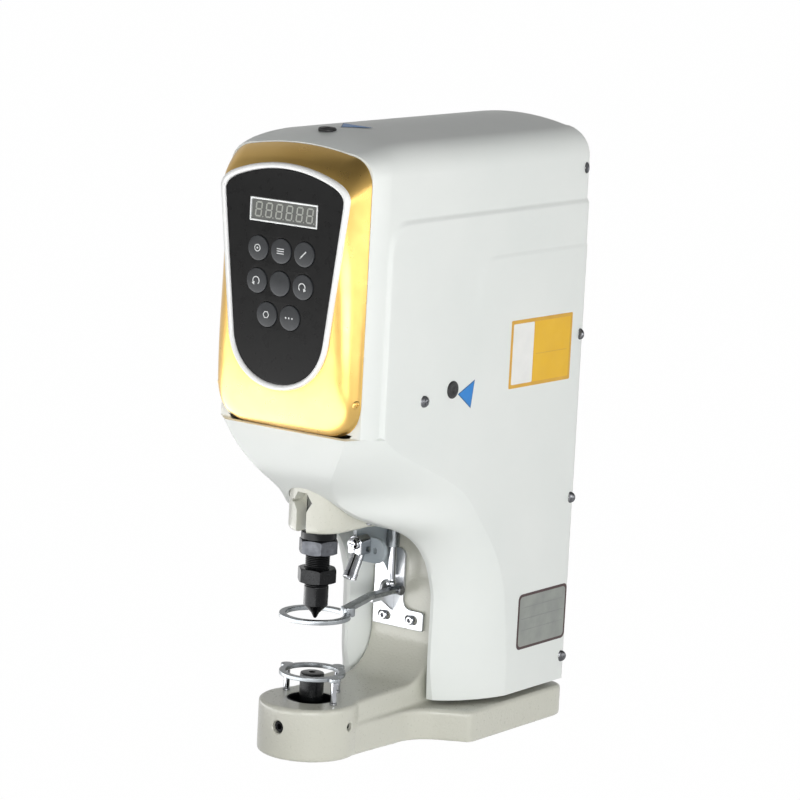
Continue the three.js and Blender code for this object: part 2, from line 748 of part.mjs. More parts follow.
function angleSolid() {
  const rear = columnFrontY - gap;
  const front = rear - angleThickness;
  const footMiddle = (angleFootBottomZ + angleFootTopZ) / 2;
  const corner = angleCornerRadius;
  const face = outline([[angleFootLeftX, angleFootBottomZ, corner], [angleFootRightX, angleFootBottomZ, corner],
    [angleFootRightX, angleFootTopZ, angleThickness], [angleUprightRightX, angleFootTopZ, angleFillet],
    [angleUprightRightX, angleUprightTopZ, angleFillet], [angleFootLeftX, angleUprightTopZ, angleFillet]]);
  let angle = solid(frontPrism(face, front, rear));
  const earCrown = pivotZ + earCrownRadius;
  const ear = outline([[front + angleThickness / 2, angleFootTopZ], [front + angleThickness / 2, earCrown],
    [pivotY - earCrownRadius, earCrown, earCrownRadius], [earNeckY, earBottomZ + earNoseHeight],
    [earFrontY, earBottomZ + earNoseHeight, angleThickness / 2],
    [earFrontY, earBottomZ, angleThickness / 2], [pivotY - earCrownRadius, earBottomZ, angleFillet]]);
  angle = angle.add(solid(sidePrism(ear, earRightX - angleThickness, earRightX)));
  for (const x of [angleFootLeftX + slotInset, angleFootRightX - slotInset]) {
    const half = slotLength / 2;
    const slot = outline([[x - half, footMiddle - slotRadius, slotRadius],
      [x + half, footMiddle - slotRadius, slotRadius], [x + half, footMiddle + slotRadius, slotRadius],
      [x - half, footMiddle + slotRadius, slotRadius]]);
    angle = angle.subtract(solid(frontPrism(slot, front - overrun, rear + overrun)));
  }
  return angle.subtract(solid(sideRod(pivotPinRadius + gap, earRightX - 2 * angleThickness,
    earRightX + angleThickness, pivotY, pivotZ, tinySides)));
}

add('guard_bracket', angleSolid(), chrome);

function capScrew() {
  const socket = socketShare * capScrewHead;
  const [crown, edge] = capScrewCrownShares;
  const profile = [[0, -capScrewHeadHeight], [crown * capScrewHead, -capScrewHeadHeight],
    [capScrewHead, -edge * capScrewHeadHeight], [capScrewHead, -gap], [capScrewShank, -gap],
    [capScrewShank, capScrewDepth + angleThickness], [0, capScrewDepth + angleThickness]];
  return solid(turned(profile, smallSides).rotateX(-Math.PI / 2))
    .subtract(solid(new THREE.CylinderGeometry(socket, socket, 2 * capScrewSocket, 6)
      .translate(0, -capScrewHeadHeight, 0)));
}

const angleFront = columnFrontY - gap - angleThickness;
[angleFootLeftX + slotInset, angleFootRightX - slotInset].forEach((x, i) => {
  add(`bracket_screw_${i + 1}`, geometryOf(capScrew())
    .translate(x, angleFront, (angleFootBottomZ + angleFootTopZ) / 2), greySteel);
});

const guard = new THREE.Group();
model.add(guard);

function guardSolid() {
  const half = armWidth / 2;
  const root = outline([[armRootX - half, armRootY - half], [armRootX + half, armRootY - half, half / 2],
    [half, armBendY], [half, pivotY], [-half, pivotY], [-half, armBendY]]);
  const bottom = ringBottomZ + ringThickness;
  return solid(ring(ringOuter, ringInner, ringBottomZ, bottom, ringSides))
    .add(solid(uprightRod(armRootRadius, ringBottomZ, armTop, armRootX, armRootY, smallSides)))
    .add(solid(planPrism(root, bottom, armTop)))
    .add(solid(sideRod(pivotBossRadius, -half, half, pivotY, pivotZ)))
    .subtract(solid(uprightRod(ringInner, ringBottomZ - overrun, armTop + overrun, 0, 0, ringSides)))
    .subtract(solid(sideRod(pivotPinRadius + gap, -armWidth, armWidth, pivotY, pivotZ, tinySides)));
}

add('guard_arm', guardSolid(), chrome, guard);

const pinLeft = earRightX - angleThickness - gap;
const pinRight = armWidth / 2 + gap;
add('pivot_pin', solid(sideRod(pivotPinRadius, pinLeft - pinHeadThickness, pinRight + pinHeadThickness,
  pivotY, pivotZ, tinySides))
  .add(solid(sideRod(pinHeadRadius, pinLeft - pinHeadThickness, pinLeft, pivotY, pivotZ, tinySides)))
  .add(solid(sideRod(pinHeadRadius, pinRight, pinRight + pinHeadThickness, pivotY, pivotZ, tinySides))),
greySteel);

const ballZ = armTop + gap + rodBallRadius;
add('lift_rod', solid(uprightRod(rodRadius, ballZ, rodTopZ, 0, rodY, smallSides))
  .add(solid(new THREE.SphereGeometry(rodBallRadius, smallSides, tinySides / 2).translate(0, rodY, ballZ))), chrome);
add('lift_rod_bush', ring(glandRadius, rodRadius + rodRunning, glandBottomZ + gap,
  glandBottomZ + glandLength, smallSides).translate(0, rodY, 0), chrome);
add('guard_solenoid', solid(box(-coilHalf, coilHalf, rodY - coilHalf, rodY + coilHalf,
  armTopZ + gap, armTopZ + gap + coilHeight))
  .subtract(solid(uprightRod(rodRadius + rodRunning, armTopZ - overrun, rodTopZ + 2 * overrun, 0, rodY,
    smallSides))),
motorPaint);

// ---- lamp on its hooked bracket -------------------------------------------------------------

function lampBracketSolid() {
  const top = armBottomZ - gap;
  const cornerY = columnFrontY - throatFillet;
  const radius = throatFillet - gap;
  const barBottom = lampBarZ - lampBarHalfHeight;
  const barRear = lampBarFrontY + lampPlateThickness;
  const web = new THREE.Shape();
  web.moveTo(lampBarFrontY, top);
  web.lineTo(lampBarFrontY, barBottom);
  web.lineTo(barRear, barBottom);
  web.quadraticCurveTo(lampHookTipY - lampHookDepth, barBottom + lampHookDepth / 2, lampHookTipY, lampHookTipZ);
  web.lineTo(lampHookTipY + lampPlateThickness, lampHookTipZ);
  web.lineTo(angleFront - gap, angleUprightTopZ + gap);
  web.absarc(cornerY, armBottomZ - throatFillet, radius, 0, Math.PI / 2, false);
  const webRight = lampWebX + lampPlateThickness;
  const bar = outline([[lampWebX, barBottom], [lampBarRightX + lampBarHalfHeight, barBottom, lampBarHalfHeight],
    [lampBarRightX + lampBarHalfHeight, barBottom + 2 * lampBarHalfHeight, lampBarHalfHeight],
    [lampWebX, barBottom + 2 * lampBarHalfHeight]]);
  return solid(sidePrism(web, lampWebX, webRight, 10))
    .add(solid(frontPrism(bar, lampBarFrontY, barRear)))
    .subtract(solid(frontRod(lampHoleRadius, lampBarFrontY - overrun, barRear + overrun, lampBarRightX,
      lampBarZ, tinySides)))
    .subtract(solid(frontRod(lampScrewRadius + gap, lampBarFrontY - overrun, barRear + overrun, lampPivotX,
      lampPivotZ, tinySides)));
}

add('lamp_bracket', lampBracketSolid(), greyPaint);

const lampBlockRear = lampBarFrontY - gap;
const lampBlockFront = lampBlockRear - lampBlockDepth;
add('lamp_screw', solid(frontRod(lampScrewRadius, lampBlockFront - gap - lampScrewHeadHeight,
  lampBarFrontY + lampPlateThickness, lampPivotX, lampPivotZ, tinySides))
  .add(solid(frontRod(lampScrewHead, lampBlockFront - gap - lampScrewHeadHeight, lampBlockFront - gap,
    lampPivotX, lampPivotZ))), chrome);

const lamp = new THREE.Group();
model.add(lamp);
const lampTurn = -THREE.MathUtils.degToRad(lampTilt);
const lampMouthY = lampBlockFront + lampBlockDepth / 2;
const lampMouthZ = lampPivotZ - lampBlockHalf;

function tiltedLamp(geometry) {
  return geometry.rotateX(lampTurn).translate(lampPivotX, lampMouthY, lampMouthZ);
}

add('lamp_clamp', solid(box(lampPivotX - lampBlockHalf, lampPivotX + lampBlockHalf, lampBlockFront,
  lampBlockRear, lampMouthZ - lampSocketDepth, lampPivotZ + lampBlockHalf))
  .subtract(solid(frontRod(lampScrewRadius + gap, lampBlockFront - overrun, lampBlockRear + overrun,
    lampPivotX, lampPivotZ, tinySides)))
  .subtract(solid(tiltedLamp(uprightRod(lampRadius + gap, -lampLength, 0, 0, 0, smallSides)))),
chrome, lamp);

const capRadius = lampRadius + lampCapProud;
add('lamp_tube', tiltedLamp(turned([[0, -lampLength], [capRadius, -lampLength],
  [capRadius, lampCapLength - lampLength], [lampRadius, lampCapLength - lampLength],
  [lampRadius, -gap], [0, -gap]], smallSides)), chrome, lamp);

// ---- moulded shell --------------------------------------------------------------------------

function shellSections(wall) {
  const sections = shellSectionShares.map(([rise, reach, width, shoulder]) => ({
    z: shellBottomZ + rise * (chinTopZ - shellBottomZ),
    front: throatEdgeY + reach * (chinFrontY - throatEdgeY) + wall,
    half: width * shellHalfWidth - wall,
    shoulder: throatShoulderY + shoulder * (shellFrontShoulderY - throatShoulderY) + wall,
  }));
  const face = { front: shellFrontY + wall, half: shellFrontHalf - wall, shoulder: shellFrontShoulderY + wall };
  sections.push({ z: chinTopZ + chinStep, ...face });
  sections.push({ z: shellTopZ + overrun, ...face });
  return sections;
}

// a stack of plan outlines, each with a front, a flare on either side and straight flanks
function loftedShell(wall) {
  const sections = shellSections(wall);
  const unit = [];
  for (let i = 0; i <= flareSteps; i += 1) unit.push([1 + i / flareSteps, i / flareSteps]);
  unit.push([2, 2]);
  const mirrored = unit.toReversed().map(([x, y]) => [-x, y]);
  const last = sections.length - 1;
  const stack = planPrism(outline([...unit, ...mirrored]), 0, last, 1, last);
  return moveVertices(stack, (point) => {
    const section = sections[Math.round(point.z)];
    const share = Math.min(point.y, 1);
    const turn = share * Math.PI / 2;
    const outward = share * (1 - flareRoundShare) + Math.sin(turn) * flareRoundShare;
    const backward = share * (1 - flareRoundShare) + (1 - Math.cos(turn)) * flareRoundShare;
    const side = Math.sign(point.x);
    point.x = side * (section.half + outward * (shellHalfWidth - wall - section.half));
    point.y = point.y > 1.5 ? shellRearY : section.front + backward * (section.shoulder - section.front);
    point.z = section.z;
    if (wall && section !== sections[last]) point.z += section === sections[0] ? -2 * wall : wall;
  });
}

// outline seen from the front; the flanks step in above the raised fields
function crossSection(wall) {
  const half = shellHalfWidth - wall;
  const upperHalf = half - raisedProud;
  const radius = shellShoulderRadius - wall;
  const edgeZ = shellTopZ - shellCrown - wall;
  const stepZ = raisedTopZ - wall;
  const shape = new THREE.Shape();
  shape.moveTo(-half, -overrun);
  shape.lineTo(half, -overrun);
  shape.lineTo(half, stepZ - raisedSlope);
  shape.lineTo(upperHalf, stepZ);
  shape.lineTo(upperHalf, edgeZ - radius);
  shape.absarc(upperHalf - radius, edgeZ - radius, radius, 0, Math.PI / 2, false);
  shape.quadraticCurveTo(0, edgeZ + 2 * shellCrown, radius - upperHalf, edgeZ);
  shape.absarc(radius - upperHalf, edgeZ - radius, radius, Math.PI / 2, Math.PI, false);
  shape.lineTo(-upperHalf, stepZ);
  shape.lineTo(-half, stepZ - raisedSlope);
  return frontPrism(shape, chinFrontY - overrun, shellRearY, 8);
}

function sideSection(wall) {
  const top = shellTopZ - wall;
  const shape = new THREE.Shape();
  shape.moveTo(chinFrontY - overrun, -overrun);
  shape.lineTo(shellRearY, -overrun);
  shape.lineTo(shellRearY, top - shellRearRadius);
  shape.quadraticCurveTo(shellRearY, top, shellRearY - shellRearRadius, top);
  shape.lineTo(shellBrowY, top);
  shape.quadraticCurveTo((shellBrowY + shellFrontY) / 2, top, shellFrontY, top - shellBrowDrop);
  shape.lineTo(chinFrontY - overrun, top - shellBrowDrop);
  const half = shellHalfWidth + overrun;
  return sidePrism(shape, -half, half, 6);
}

// what is cut from one flank to leave the raised field, whose border slopes at the front and top
function raisedCut(side, wall) {
  const near = shellHalfWidth - raisedProud - wall;
  const far = near + 2 * raisedProud;
  const front = raisedFrontY + wall;
  const top = raisedTopZ - wall;
  const bottom = -overrun;
  const rear = shellRearY + overrun;
  const around = sidePrism(outline([[chinFrontY - overrun, raisedBottomZ], [rear, raisedBottomZ],
    [rear, shellTopZ + overrun], [chinFrontY - overrun, shellTopZ + overrun]]), near, far);
  const field = sidePrism(outline([[front, bottom], [rear + overrun, bottom], [rear + overrun, top],
    [front, top, raisedRadius]]), near - overrun, far + overrun, 10);
  moveVertices(field, (point) => {
    if (point.x < near) return;
    point.y += 2 * raisedSlope * (rear + overrun - point.y) / (rear + overrun - front);
    point.z -= 2 * raisedSlope * (point.z - bottom) / (top - bottom);
  });
  const cut = solid(around).subtract(solid(field));
  return side > 0 ? cut : cut.mirror([1, 0, 0]);
}

function shellBody(wall) {
  return solid(loftedShell(wall)).intersect(solid(crossSection(wall))).intersect(solid(sideSection(wall)))
    .subtract(raisedCut(1, wall)).subtract(raisedCut(-1, wall));
}

// plan of the opening at the throat: straight, then slanting in to the column
function throatPlan(grow, rear) {
  const near = returnHalf + grow;
  const far = columnHalfWidth + castingClearance + grow;
  return outline([[-near, 0], [near, 0], [near, returnBendY + grow / 2], [far, returnColumnY + grow / 2],
    [far, rear], [-far, rear], [-far, returnColumnY + grow / 2], [-near, returnBendY + grow / 2]]);
}

function shellSolid() {
  const windowTop = bezelTopZ - frontWindowMargin;
  const windowBottom = bezelBottomZ + frontWindowMargin;
  const side = shellHalfWidth + overrun;
  const cuts = [
    planPrism(headPlan(castingClearance), -overrun, armTopZ + castingClearance, 16),
    planPrism(throatPlan(0, columnRearY), -overrun, armBottomZ),
    box(-shellHalfWidth, shellHalfWidth, shellRearY - 2 * shellWall, shellRearY + overrun, -overrun,
      shellBottomZ),
    box(-frontWindowHalf, frontWindowHalf, shellFrontY - overrun, shellFrontY + frontWindowDepth,
      windowBottom, windowTop),
    sideRod(panScrewShank + gap, 0, side, frontScrewY, frontScrewZ, tinySides),
    sideRod(plugStem + gap, 0, side, sidePlugY, sidePlugZ),
    uprightRod(plugStem + gap, shellTopZ - topHoleDepth, shellTopZ + overrun, 0, topPlugY, smallSides),
  ];
  for (const z of rearScrewZs) {
    cuts.push(sideRod(panScrewShank + gap, 0, side, shellRearY - rearScrewInset, z, tinySides));
  }
  const body = shellBody(0);
  const hollow = body.subtract(shellBody(shellWall));
  // walls that turn in along the column, seen through the throat
  const returns = solid(planPrism(throatPlan(shellWall, returnRearY), shellBottomZ, armBottomZ));
  return cuts.reduce((shell, cut) => shell.subtract(solid(cut)), hollow.add(returns.intersect(body)));
}

add('body_shell', shellSolid(), shellPlastic);

// ---- rear panel, switch and cable gland -----------------------------------------------------

const panelRear = shellRearY - rearPanelInset;
const panelFront = panelRear - rearPanelThickness;

function rearPanelSolid() {
  const slots = [];
  for (let i = 0; i < ventCount; i += 1) {
    const z = ventBottomZ + i * ventPitch;
    slots.push(box(-ventLength / 2, ventLength / 2, panelFront - overrun, panelRear + overrun, z,
      z + ventWidth));
  }
  slots.push(box(switchX - switchHalfWidth - gap, switchX + switchHalfWidth + gap, panelFront - overrun,
    panelRear + overrun, switchZ - switchHalfHeight - gap, switchZ + switchHalfHeight + gap));
  slots.push(frontRod(cableRadius + gap, panelFront - overrun, panelRear + overrun, cableX, switchZ, roundSides));
  const slab = box(-shellHalfWidth, shellHalfWidth, panelFront, panelRear, shellBottomZ, shellTopZ);
  return slots.reduce((panel, slot) => panel.subtract(solid(slot)),
    solid(slab).intersect(shellBody(shellWall + gap)));
}

add('rear_panel', rearPanelSolid(), shellPlastic);

const switchFace = panelRear + gap + switchFlange;
const rockerHalfWidth = switchHalfWidth - 2 * switchFlange;
const rockerHalfHeight = switchHalfHeight - 2 * switchFlange;
const rockerPivotY = panelRear - rockerThrow;
add('power_switch', solid(box(switchX - switchHalfWidth, switchX + switchHalfWidth,
  panelRear - switchDepth, switchFace, switchZ - switchHalfHeight, switchZ + switchHalfHeight))
  .add(solid(box(switchX - switchHalfWidth - switchFlange, switchX + switchHalfWidth + switchFlange,
    panelRear + gap, switchFace, switchZ - switchHalfHeight - switchFlange,
    switchZ + switchHalfHeight + switchFlange)))
  .subtract(solid(box(switchX - rockerHalfWidth - gap, switchX + rockerHalfWidth + gap,
    panelRear - switchDepth / 2, switchFace + overrun, switchZ - rockerHalfHeight - 2 * gap,
    switchZ + rockerHalfHeight + 2 * gap))), panelPlastic);

// the rocker rests with its upper half pressed in
const rockerTilt = Math.atan(rockerThrow / rockerHalfHeight) / 2;
const rockerFace = switchFace + rockerThrow / 2 - rockerPivotY;
add('switch_rocker', sidePrism(outline([[0, -rockerHalfHeight + gap], [rockerFace, -rockerHalfHeight + gap],
  [rockerFace - rockerThrow / 2, 0], [rockerFace, rockerHalfHeight - gap], [0, rockerHalfHeight - gap],
  [-rockerThrow, 0]]), -rockerHalfWidth, rockerHalfWidth)
  .rotateX(rockerTilt).translate(switchX, rockerPivotY, switchZ), rubber);

const [glandRim, glandRise, glandEnd] = glandTaperShares;
add('cable_gland', turned([[cableBore, -cableLength], [cableRadius, -cableLength], [cableRadius, gap],
  [cableFlange, gap], [glandRim * cableFlange, glandRise * cableFlange], [glandEnd * cableBore, cableLength],
  [cableBore, cableLength], [cableBore, -cableLength]])
  .rotateX(-Math.PI / 2).translate(cableX, panelRear, switchZ), rubber);

// ---- bezel, lip, keypad and display ---------------------------------------------------------

const bezelRearY = shellFrontY - gap;
const bezelFrontY = bezelRearY - bezelDepth;
const lipFrontY = bezelFrontY - lipProud;
const panelFaceY = lipFrontY + panelRecess;
const panelBackY = panelFaceY + panelThickness;

function bezelBlock(inset, front, rear) {
  const half = bezelRearHalf - inset;
  const radius = bezelCornerRadius - inset / 2;
  const top = bezelTopZ - bezelTopCrown - inset;
  const bottom = bezelBottomZ + inset;
  const shape = new THREE.Shape();
  shape.moveTo(half, bottom + radius);
  shape.lineTo(half, top - radius);
  shape.quadraticCurveTo(half, top, half - radius, top);
  shape.quadraticCurveTo(0, top + 2 * bezelTopCrown, radius - half, top);
  shape.quadraticCurveTo(-half, top, -half, top - radius);
  shape.lineTo(-half, bottom + radius);
  shape.quadraticCurveTo(-half, bottom, radius - half, bottom);
  shape.lineTo(half - radius, bottom);
  shape.quadraticCurveTo(half, bottom, half, bottom + radius);
  const frontTop = bezelFrontTopZ - inset;
  const frontBottom = bezelFrontBottomZ + inset;
  const share = (frontTop - frontBottom) / (bezelTopZ - bezelBottomZ - 2 * inset);
  return moveVertices(frontPrism(shape, front, rear, 8), (point) => {
    if (point.y > (front + rear) / 2) return;
    point.x *= bezelFrontHalf / bezelRearHalf;
    point.z = frontBottom + (point.z - bottom) * share;
  });
}

// keypad outline: crowned top, sides that draw in, round foot
function keypadOutline(grow) {
  const topHalf = panelTopHalf + grow;
  const waistHalf = panelWaistHalf + grow;
  const top = panelTopZ - panelCrown + grow;
  const bottom = panelBottomZ - grow;
  const radius = panelCornerRadius + grow / 2;
  const shape = new THREE.Shape();
  shape.moveTo(waistHalf, panelWaistZ);
  shape.lineTo(topHalf, top - radius);
  shape.quadraticCurveTo(topHalf, top, topHalf - radius, top);
  shape.quadraticCurveTo(0, top + 2 * panelCrown, radius - topHalf, top);
  shape.quadraticCurveTo(-topHalf, top, -topHalf, top - radius);
  shape.lineTo(-waistHalf, panelWaistZ);
  const [out, down, inward] = panelFootShares;
  const pullZ = panelWaistZ - down * (panelWaistZ - bottom);
  shape.bezierCurveTo(-out * waistHalf, pullZ, -inward * waistHalf, bottom, 0, bottom);
  shape.bezierCurveTo(inward * waistHalf, bottom, out * waistHalf, pullZ, waistHalf, panelWaistZ);
  return shape;
}

function keypadPrism(grow, front, rear) {
  return solid(frontPrism(keypadOutline(grow), front, rear, 7));
}

add('front_bezel', solid(bezelBlock(0, bezelFrontY, bezelRearY))
  .subtract(solid(bezelBlock(shellWall, panelBackY + shellWall, bezelRearY + overrun)))
  .subtract(keypadPrism(gap, bezelFrontY - overrun, panelBackY + gap))
  .subtract(keypadPrism(-panelSeat, bezelFrontY, bezelRearY)), goldPaint);
add('bezel_lip', keypadPrism(lipWidth, lipFrontY, bezelFrontY - gap)
  .subtract(keypadPrism(gap, lipFrontY - overrun, bezelFrontY + overrun)), shellPlastic);

const keyPlaces = [];
[3, 3, 2].forEach((count, row) => {
  for (let i = 0; i < count; i += 1) {
    keyPlaces.push([(i - (count - 1) / 2) * keyPitch, keyTopZ - row * keyRowPitch]);
  }
});

function keypadSolid() {
  const half = displayHalfWidth + gap;
  const tall = displayHalfHeight + gap;
  const holes = keyPlaces.map(([x, z]) => frontRod(keyRadius + keyClearance, panelFaceY - overrun,
    panelBackY + overrun, x, z, keySides));
  holes.push(box(-half, half, panelFaceY - overrun, panelBackY + overrun, displayZ - tall, displayZ + tall));
  return holes.reduce((panel, hole) => panel.subtract(solid(hole)),
    keypadPrism(0, panelFaceY, panelBackY));
}

add('keypad_panel', keypadSolid(), panelPlastic);

const [crown, fall] = keyCrownShares;
const keyBack = keyProud + panelThickness + gap;
const keyEnd = keyBack + keyFlangeThickness + keyStem;
keyPlaces.forEach(([x, z], i) => {
  const profile = [[0, 0], [crown * keyRadius, fall * keyDome], [keyRadius, keyDome], [keyRadius, keyBack],
    [keyRadius + keyFlange, keyBack], [keyRadius + keyFlange, keyBack + keyFlangeThickness],
    [keyStem, keyBack + keyFlangeThickness], [keyStem, keyEnd], [0, keyEnd]];
  add(`key_${i + 1}`, turned(profile, keySides).rotateX(-Math.PI / 2).translate(x, panelFaceY - keyProud, z),
    keyPlastic);
});

const boardFrontY = panelFaceY - keyProud + keyEnd + keyTravel + gap;
add('display_module', box(-displayHalfWidth, displayHalfWidth, panelFaceY + displaySink, boardFrontY - gap,
  displayZ - displayHalfHeight, displayZ + displayHalfHeight), displayGlass);
add('control_board', box(-boardHalfWidth, boardHalfWidth, boardFrontY, boardFrontY + boardThickness,
  boardBottomZ, boardTopZ), circuit);

// ---- side fasteners and oil plugs -----------------------------------------------------------

// made along +Z, then laid over to point out of the right flank
function panScrew() {
  const top = gap + panScrewHeadHeight;
  const crown = panScrewCrownShares.map(([wide, tall]) => [wide * panScrewHead, gap + tall * panScrewHeadHeight]);
  const body = turned([[0, -panScrewLength], [panScrewShank, -panScrewLength], [panScrewShank, gap],
    [panScrewHead, gap], ...crown, [0, top]], smallSides);
  const half = panScrewSlot / 2;
  const reach = panScrewCrossShares[0] * panScrewHead;
  const floor = top - panScrewCrossShares[1] * panScrewHeadHeight;
  return solid(body).subtract(solid(box(-half, half, -reach, reach, floor, top + overrun)))
    .subtract(solid(box(-reach, reach, -half, half, floor, top + overrun)));
}

function onFlank(geometry, y, z) {
  return geometry.rotateY(Math.PI / 2).translate(shellHalfWidth, y, z);
}

[[frontScrewY, frontScrewZ], ...rearScrewZs.map((z) => [shellRearY - rearScrewInset, z])]
  .forEach(([y, z], i) => {
    const drop = z > raisedTopZ ? -raisedProud : 0;
    add(`cover_screw_${i + 1}`, onFlank(geometryOf(panScrew()).translate(0, 0, drop), y, z), greySteel);
  });

function oilPlug() {
  const [wide, tall] = plugRimShares;
  return turned([[0, -plugStem], [plugStem, -plugStem], [plugStem, gap], [plugRadius, gap],
    [plugRadius, tall * plugProud], [wide * plugRadius, plugProud], [plugDimple, plugProud],
    [0, gap]], smallSides);
}

// the top falls away towards the brow, so the top plug seats at its rear edge
const browShare = (shellBrowY - topPlugY - plugRadius) / (shellBrowY - shellFrontY);
const topPlugZ = shellTopZ - shellBrowDrop * browShare * browShare;
add('side_oil_plug', onFlank(oilPlug(), sidePlugY, sidePlugZ), rubber);
add('top_oil_plug', oilPlug().translate(0, topPlugY, topPlugZ), rubber);

export default model;
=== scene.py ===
import math

import bmesh
import bpy
import numpy as np
from mathutils import Matrix, Vector
from mathutils.geometry import tessellate_polygon


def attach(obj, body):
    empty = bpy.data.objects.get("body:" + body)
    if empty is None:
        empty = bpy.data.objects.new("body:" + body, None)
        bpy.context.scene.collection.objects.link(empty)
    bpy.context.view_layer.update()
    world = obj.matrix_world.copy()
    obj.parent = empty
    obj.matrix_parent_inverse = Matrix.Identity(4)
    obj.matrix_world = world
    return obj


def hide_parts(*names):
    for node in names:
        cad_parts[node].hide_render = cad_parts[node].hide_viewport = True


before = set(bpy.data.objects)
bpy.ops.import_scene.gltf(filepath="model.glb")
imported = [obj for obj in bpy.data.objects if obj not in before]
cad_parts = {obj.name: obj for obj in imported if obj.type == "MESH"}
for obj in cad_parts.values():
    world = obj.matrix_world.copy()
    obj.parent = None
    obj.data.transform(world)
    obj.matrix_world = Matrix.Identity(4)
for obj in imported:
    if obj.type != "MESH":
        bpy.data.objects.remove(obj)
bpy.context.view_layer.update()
scene = bpy.context.scene
mm = 0.001  # every size below is in millimetres, like the part's own

# ways to lay a flat outline (u, v) with a depth w
layouts = {
    "plan": lambda u, v, w: (u, v, w),
    "front": lambda u, v, w: (u, w, v),
    "side": lambda u, v, w: (w, u, v),
}


def addObject(name, data):
    obj = bpy.data.objects.new(name, data)
    scene.collection.objects.link(obj)
    return obj


def makeObject(name, verts, faces):
    mesh = bpy.data.meshes.new(name)
    mesh.from_pydata([tuple(c * mm for c in v) for v in verts], [], faces)
    work = bmesh.new()
    work.from_mesh(mesh)
    bmesh.ops.remove_doubles(work, verts=work.verts, dist=1e-7)  # metres
    bmesh.ops.recalc_face_normals(work, faces=work.faces)
    work.to_mesh(mesh)
    work.free()
    return addObject(name, mesh)


def settle(obj):
    # leave the modifiers' result in the mesh itself
    result = bpy.data.meshes.new_from_object(obj.evaluated_get(bpy.context.evaluated_depsgraph_get()))
    obj.modifiers.clear()
    obj.data = result
    return obj


def combine(obj, tools, operation="DIFFERENCE"):
    for tool in tools:
        step = obj.modifiers.new("combine", "BOOLEAN")
        step.operation, step.solver, step.object = operation, "EXACT", tool
        settle(obj)
        bpy.data.objects.remove(tool)
    return obj


def joinUp(name, objs):
    work = bmesh.new()
    for obj in objs:
        work.from_mesh(obj.data)
    mesh = bpy.data.meshes.new(name)
    work.to_mesh(mesh)
    work.free()
    for obj in objs:
        bpy.data.objects.remove(obj)
    return addObject(name, mesh)


def place(obj, turn=None, to=(0, 0, 0)):
    # turn is (axis, degrees) or a list of them; the mesh itself is moved
    moves = Matrix.Translation(Vector(to) * mm)
    for axis, degrees in reversed([turn] if isinstance(turn, tuple) else turn or []):
        moves = moves @ Matrix.Rotation(math.radians(degrees), 4, axis)
    obj.data.transform(moves)
    return obj


def finishPiece(obj, body, finish, stands=(), angle=35):
    # stands names the part's own solids that the piece takes the place of
    obj.data.materials.clear()
    obj.data.materials.append(finishes[finish])
    for face in obj.data.polygons:
        face.material_index = 0
    obj.data.shade_smooth()
    obj.data.set_sharp_from_angle(angle=math.radians(angle))
    flatten = obj.modifiers.new("faceWeights", "WEIGHTED_NORMAL")
    flatten.keep_sharp = True
    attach(obj, body)
    if stands:
        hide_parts(*stands)
    return obj


# outlines and solids

def circleLoop(radius, u=0, v=0, steps=48, start=0, end=360):
    whole = end - start >= 360
    count = steps if whole else steps + 1
    angles = [math.radians(start + (end - start) * i / steps) for i in range(count)]
    return [(u + radius * math.cos(a), v + radius * math.sin(a)) for a in angles]


def roundLoop(corners, steps=6):
    # corners are (u, v, radius); a corner with a radius is rounded
    loop = []
    for i, corner in enumerate(corners):
        u, v, radius = (*corner, 0)[:3]
        here = Vector((u, v))
        before = Vector(corners[i - 1][:2]) - here
        after = Vector(corners[(i + 1) % len(corners)][:2]) - here
        half = before.angle(after) / 2
        if radius <= 0 or math.pi / 2 - half < 1e-3:
            loop.append((u, v))
            continue
        reach = min(radius / math.tan(half), before.length / 2, after.length / 2)
        before.normalize()
        after.normalize()
        centre = here + (before + after).normalized() * (reach / math.cos(half))
        a, b = here + before * reach - centre, here + after * reach - centre
        start, sweep = math.atan2(a.y, a.x), math.atan2(a.x * b.y - a.y * b.x, a.dot(b))
        for k in range(steps + 1):
            turn = start + sweep * k / steps
            loop.append((centre.x + a.length * math.cos(turn), centre.y + a.length * math.sin(turn)))
    return loop


def boxLoop(u0, u1, v0, v1, radius=0, steps=5):
    return roundLoop([(u0, v0, radius), (u1, v0, radius), (u1, v1, radius), (u0, v1, radius)], steps)


def loopArea(loop):
    return sum(a[0] * b[1] - b[0] * a[1] for a, b in zip(loop, loop[1:] + loop[:1])) / 2


def shiftLoop(loop, inward):
    # move every point towards the material: inside an outer loop, outside a hole's
    points = [Vector(p) for p in loop]
    moved = []
    for i, p in enumerate(points):
        before, after = p - points[i - 1], points[(i + 1) % len(points)] - p
        n = Vector((0, 0))
        for edge in (before, after):
            if edge.length > 1e-9:
                n += Vector((-edge.y, edge.x)).normalized()
        n = n.normalized() if n.length > 1e-9 else Vector((0, 0))
        step = before.normalized() if before.length > 1e-9 else Vector((1, 0))
        lean = max(0.5, abs(n.dot(Vector((-step.y, step.x)))))
        moved.append(tuple(p + n * inward / lean))
    return moved


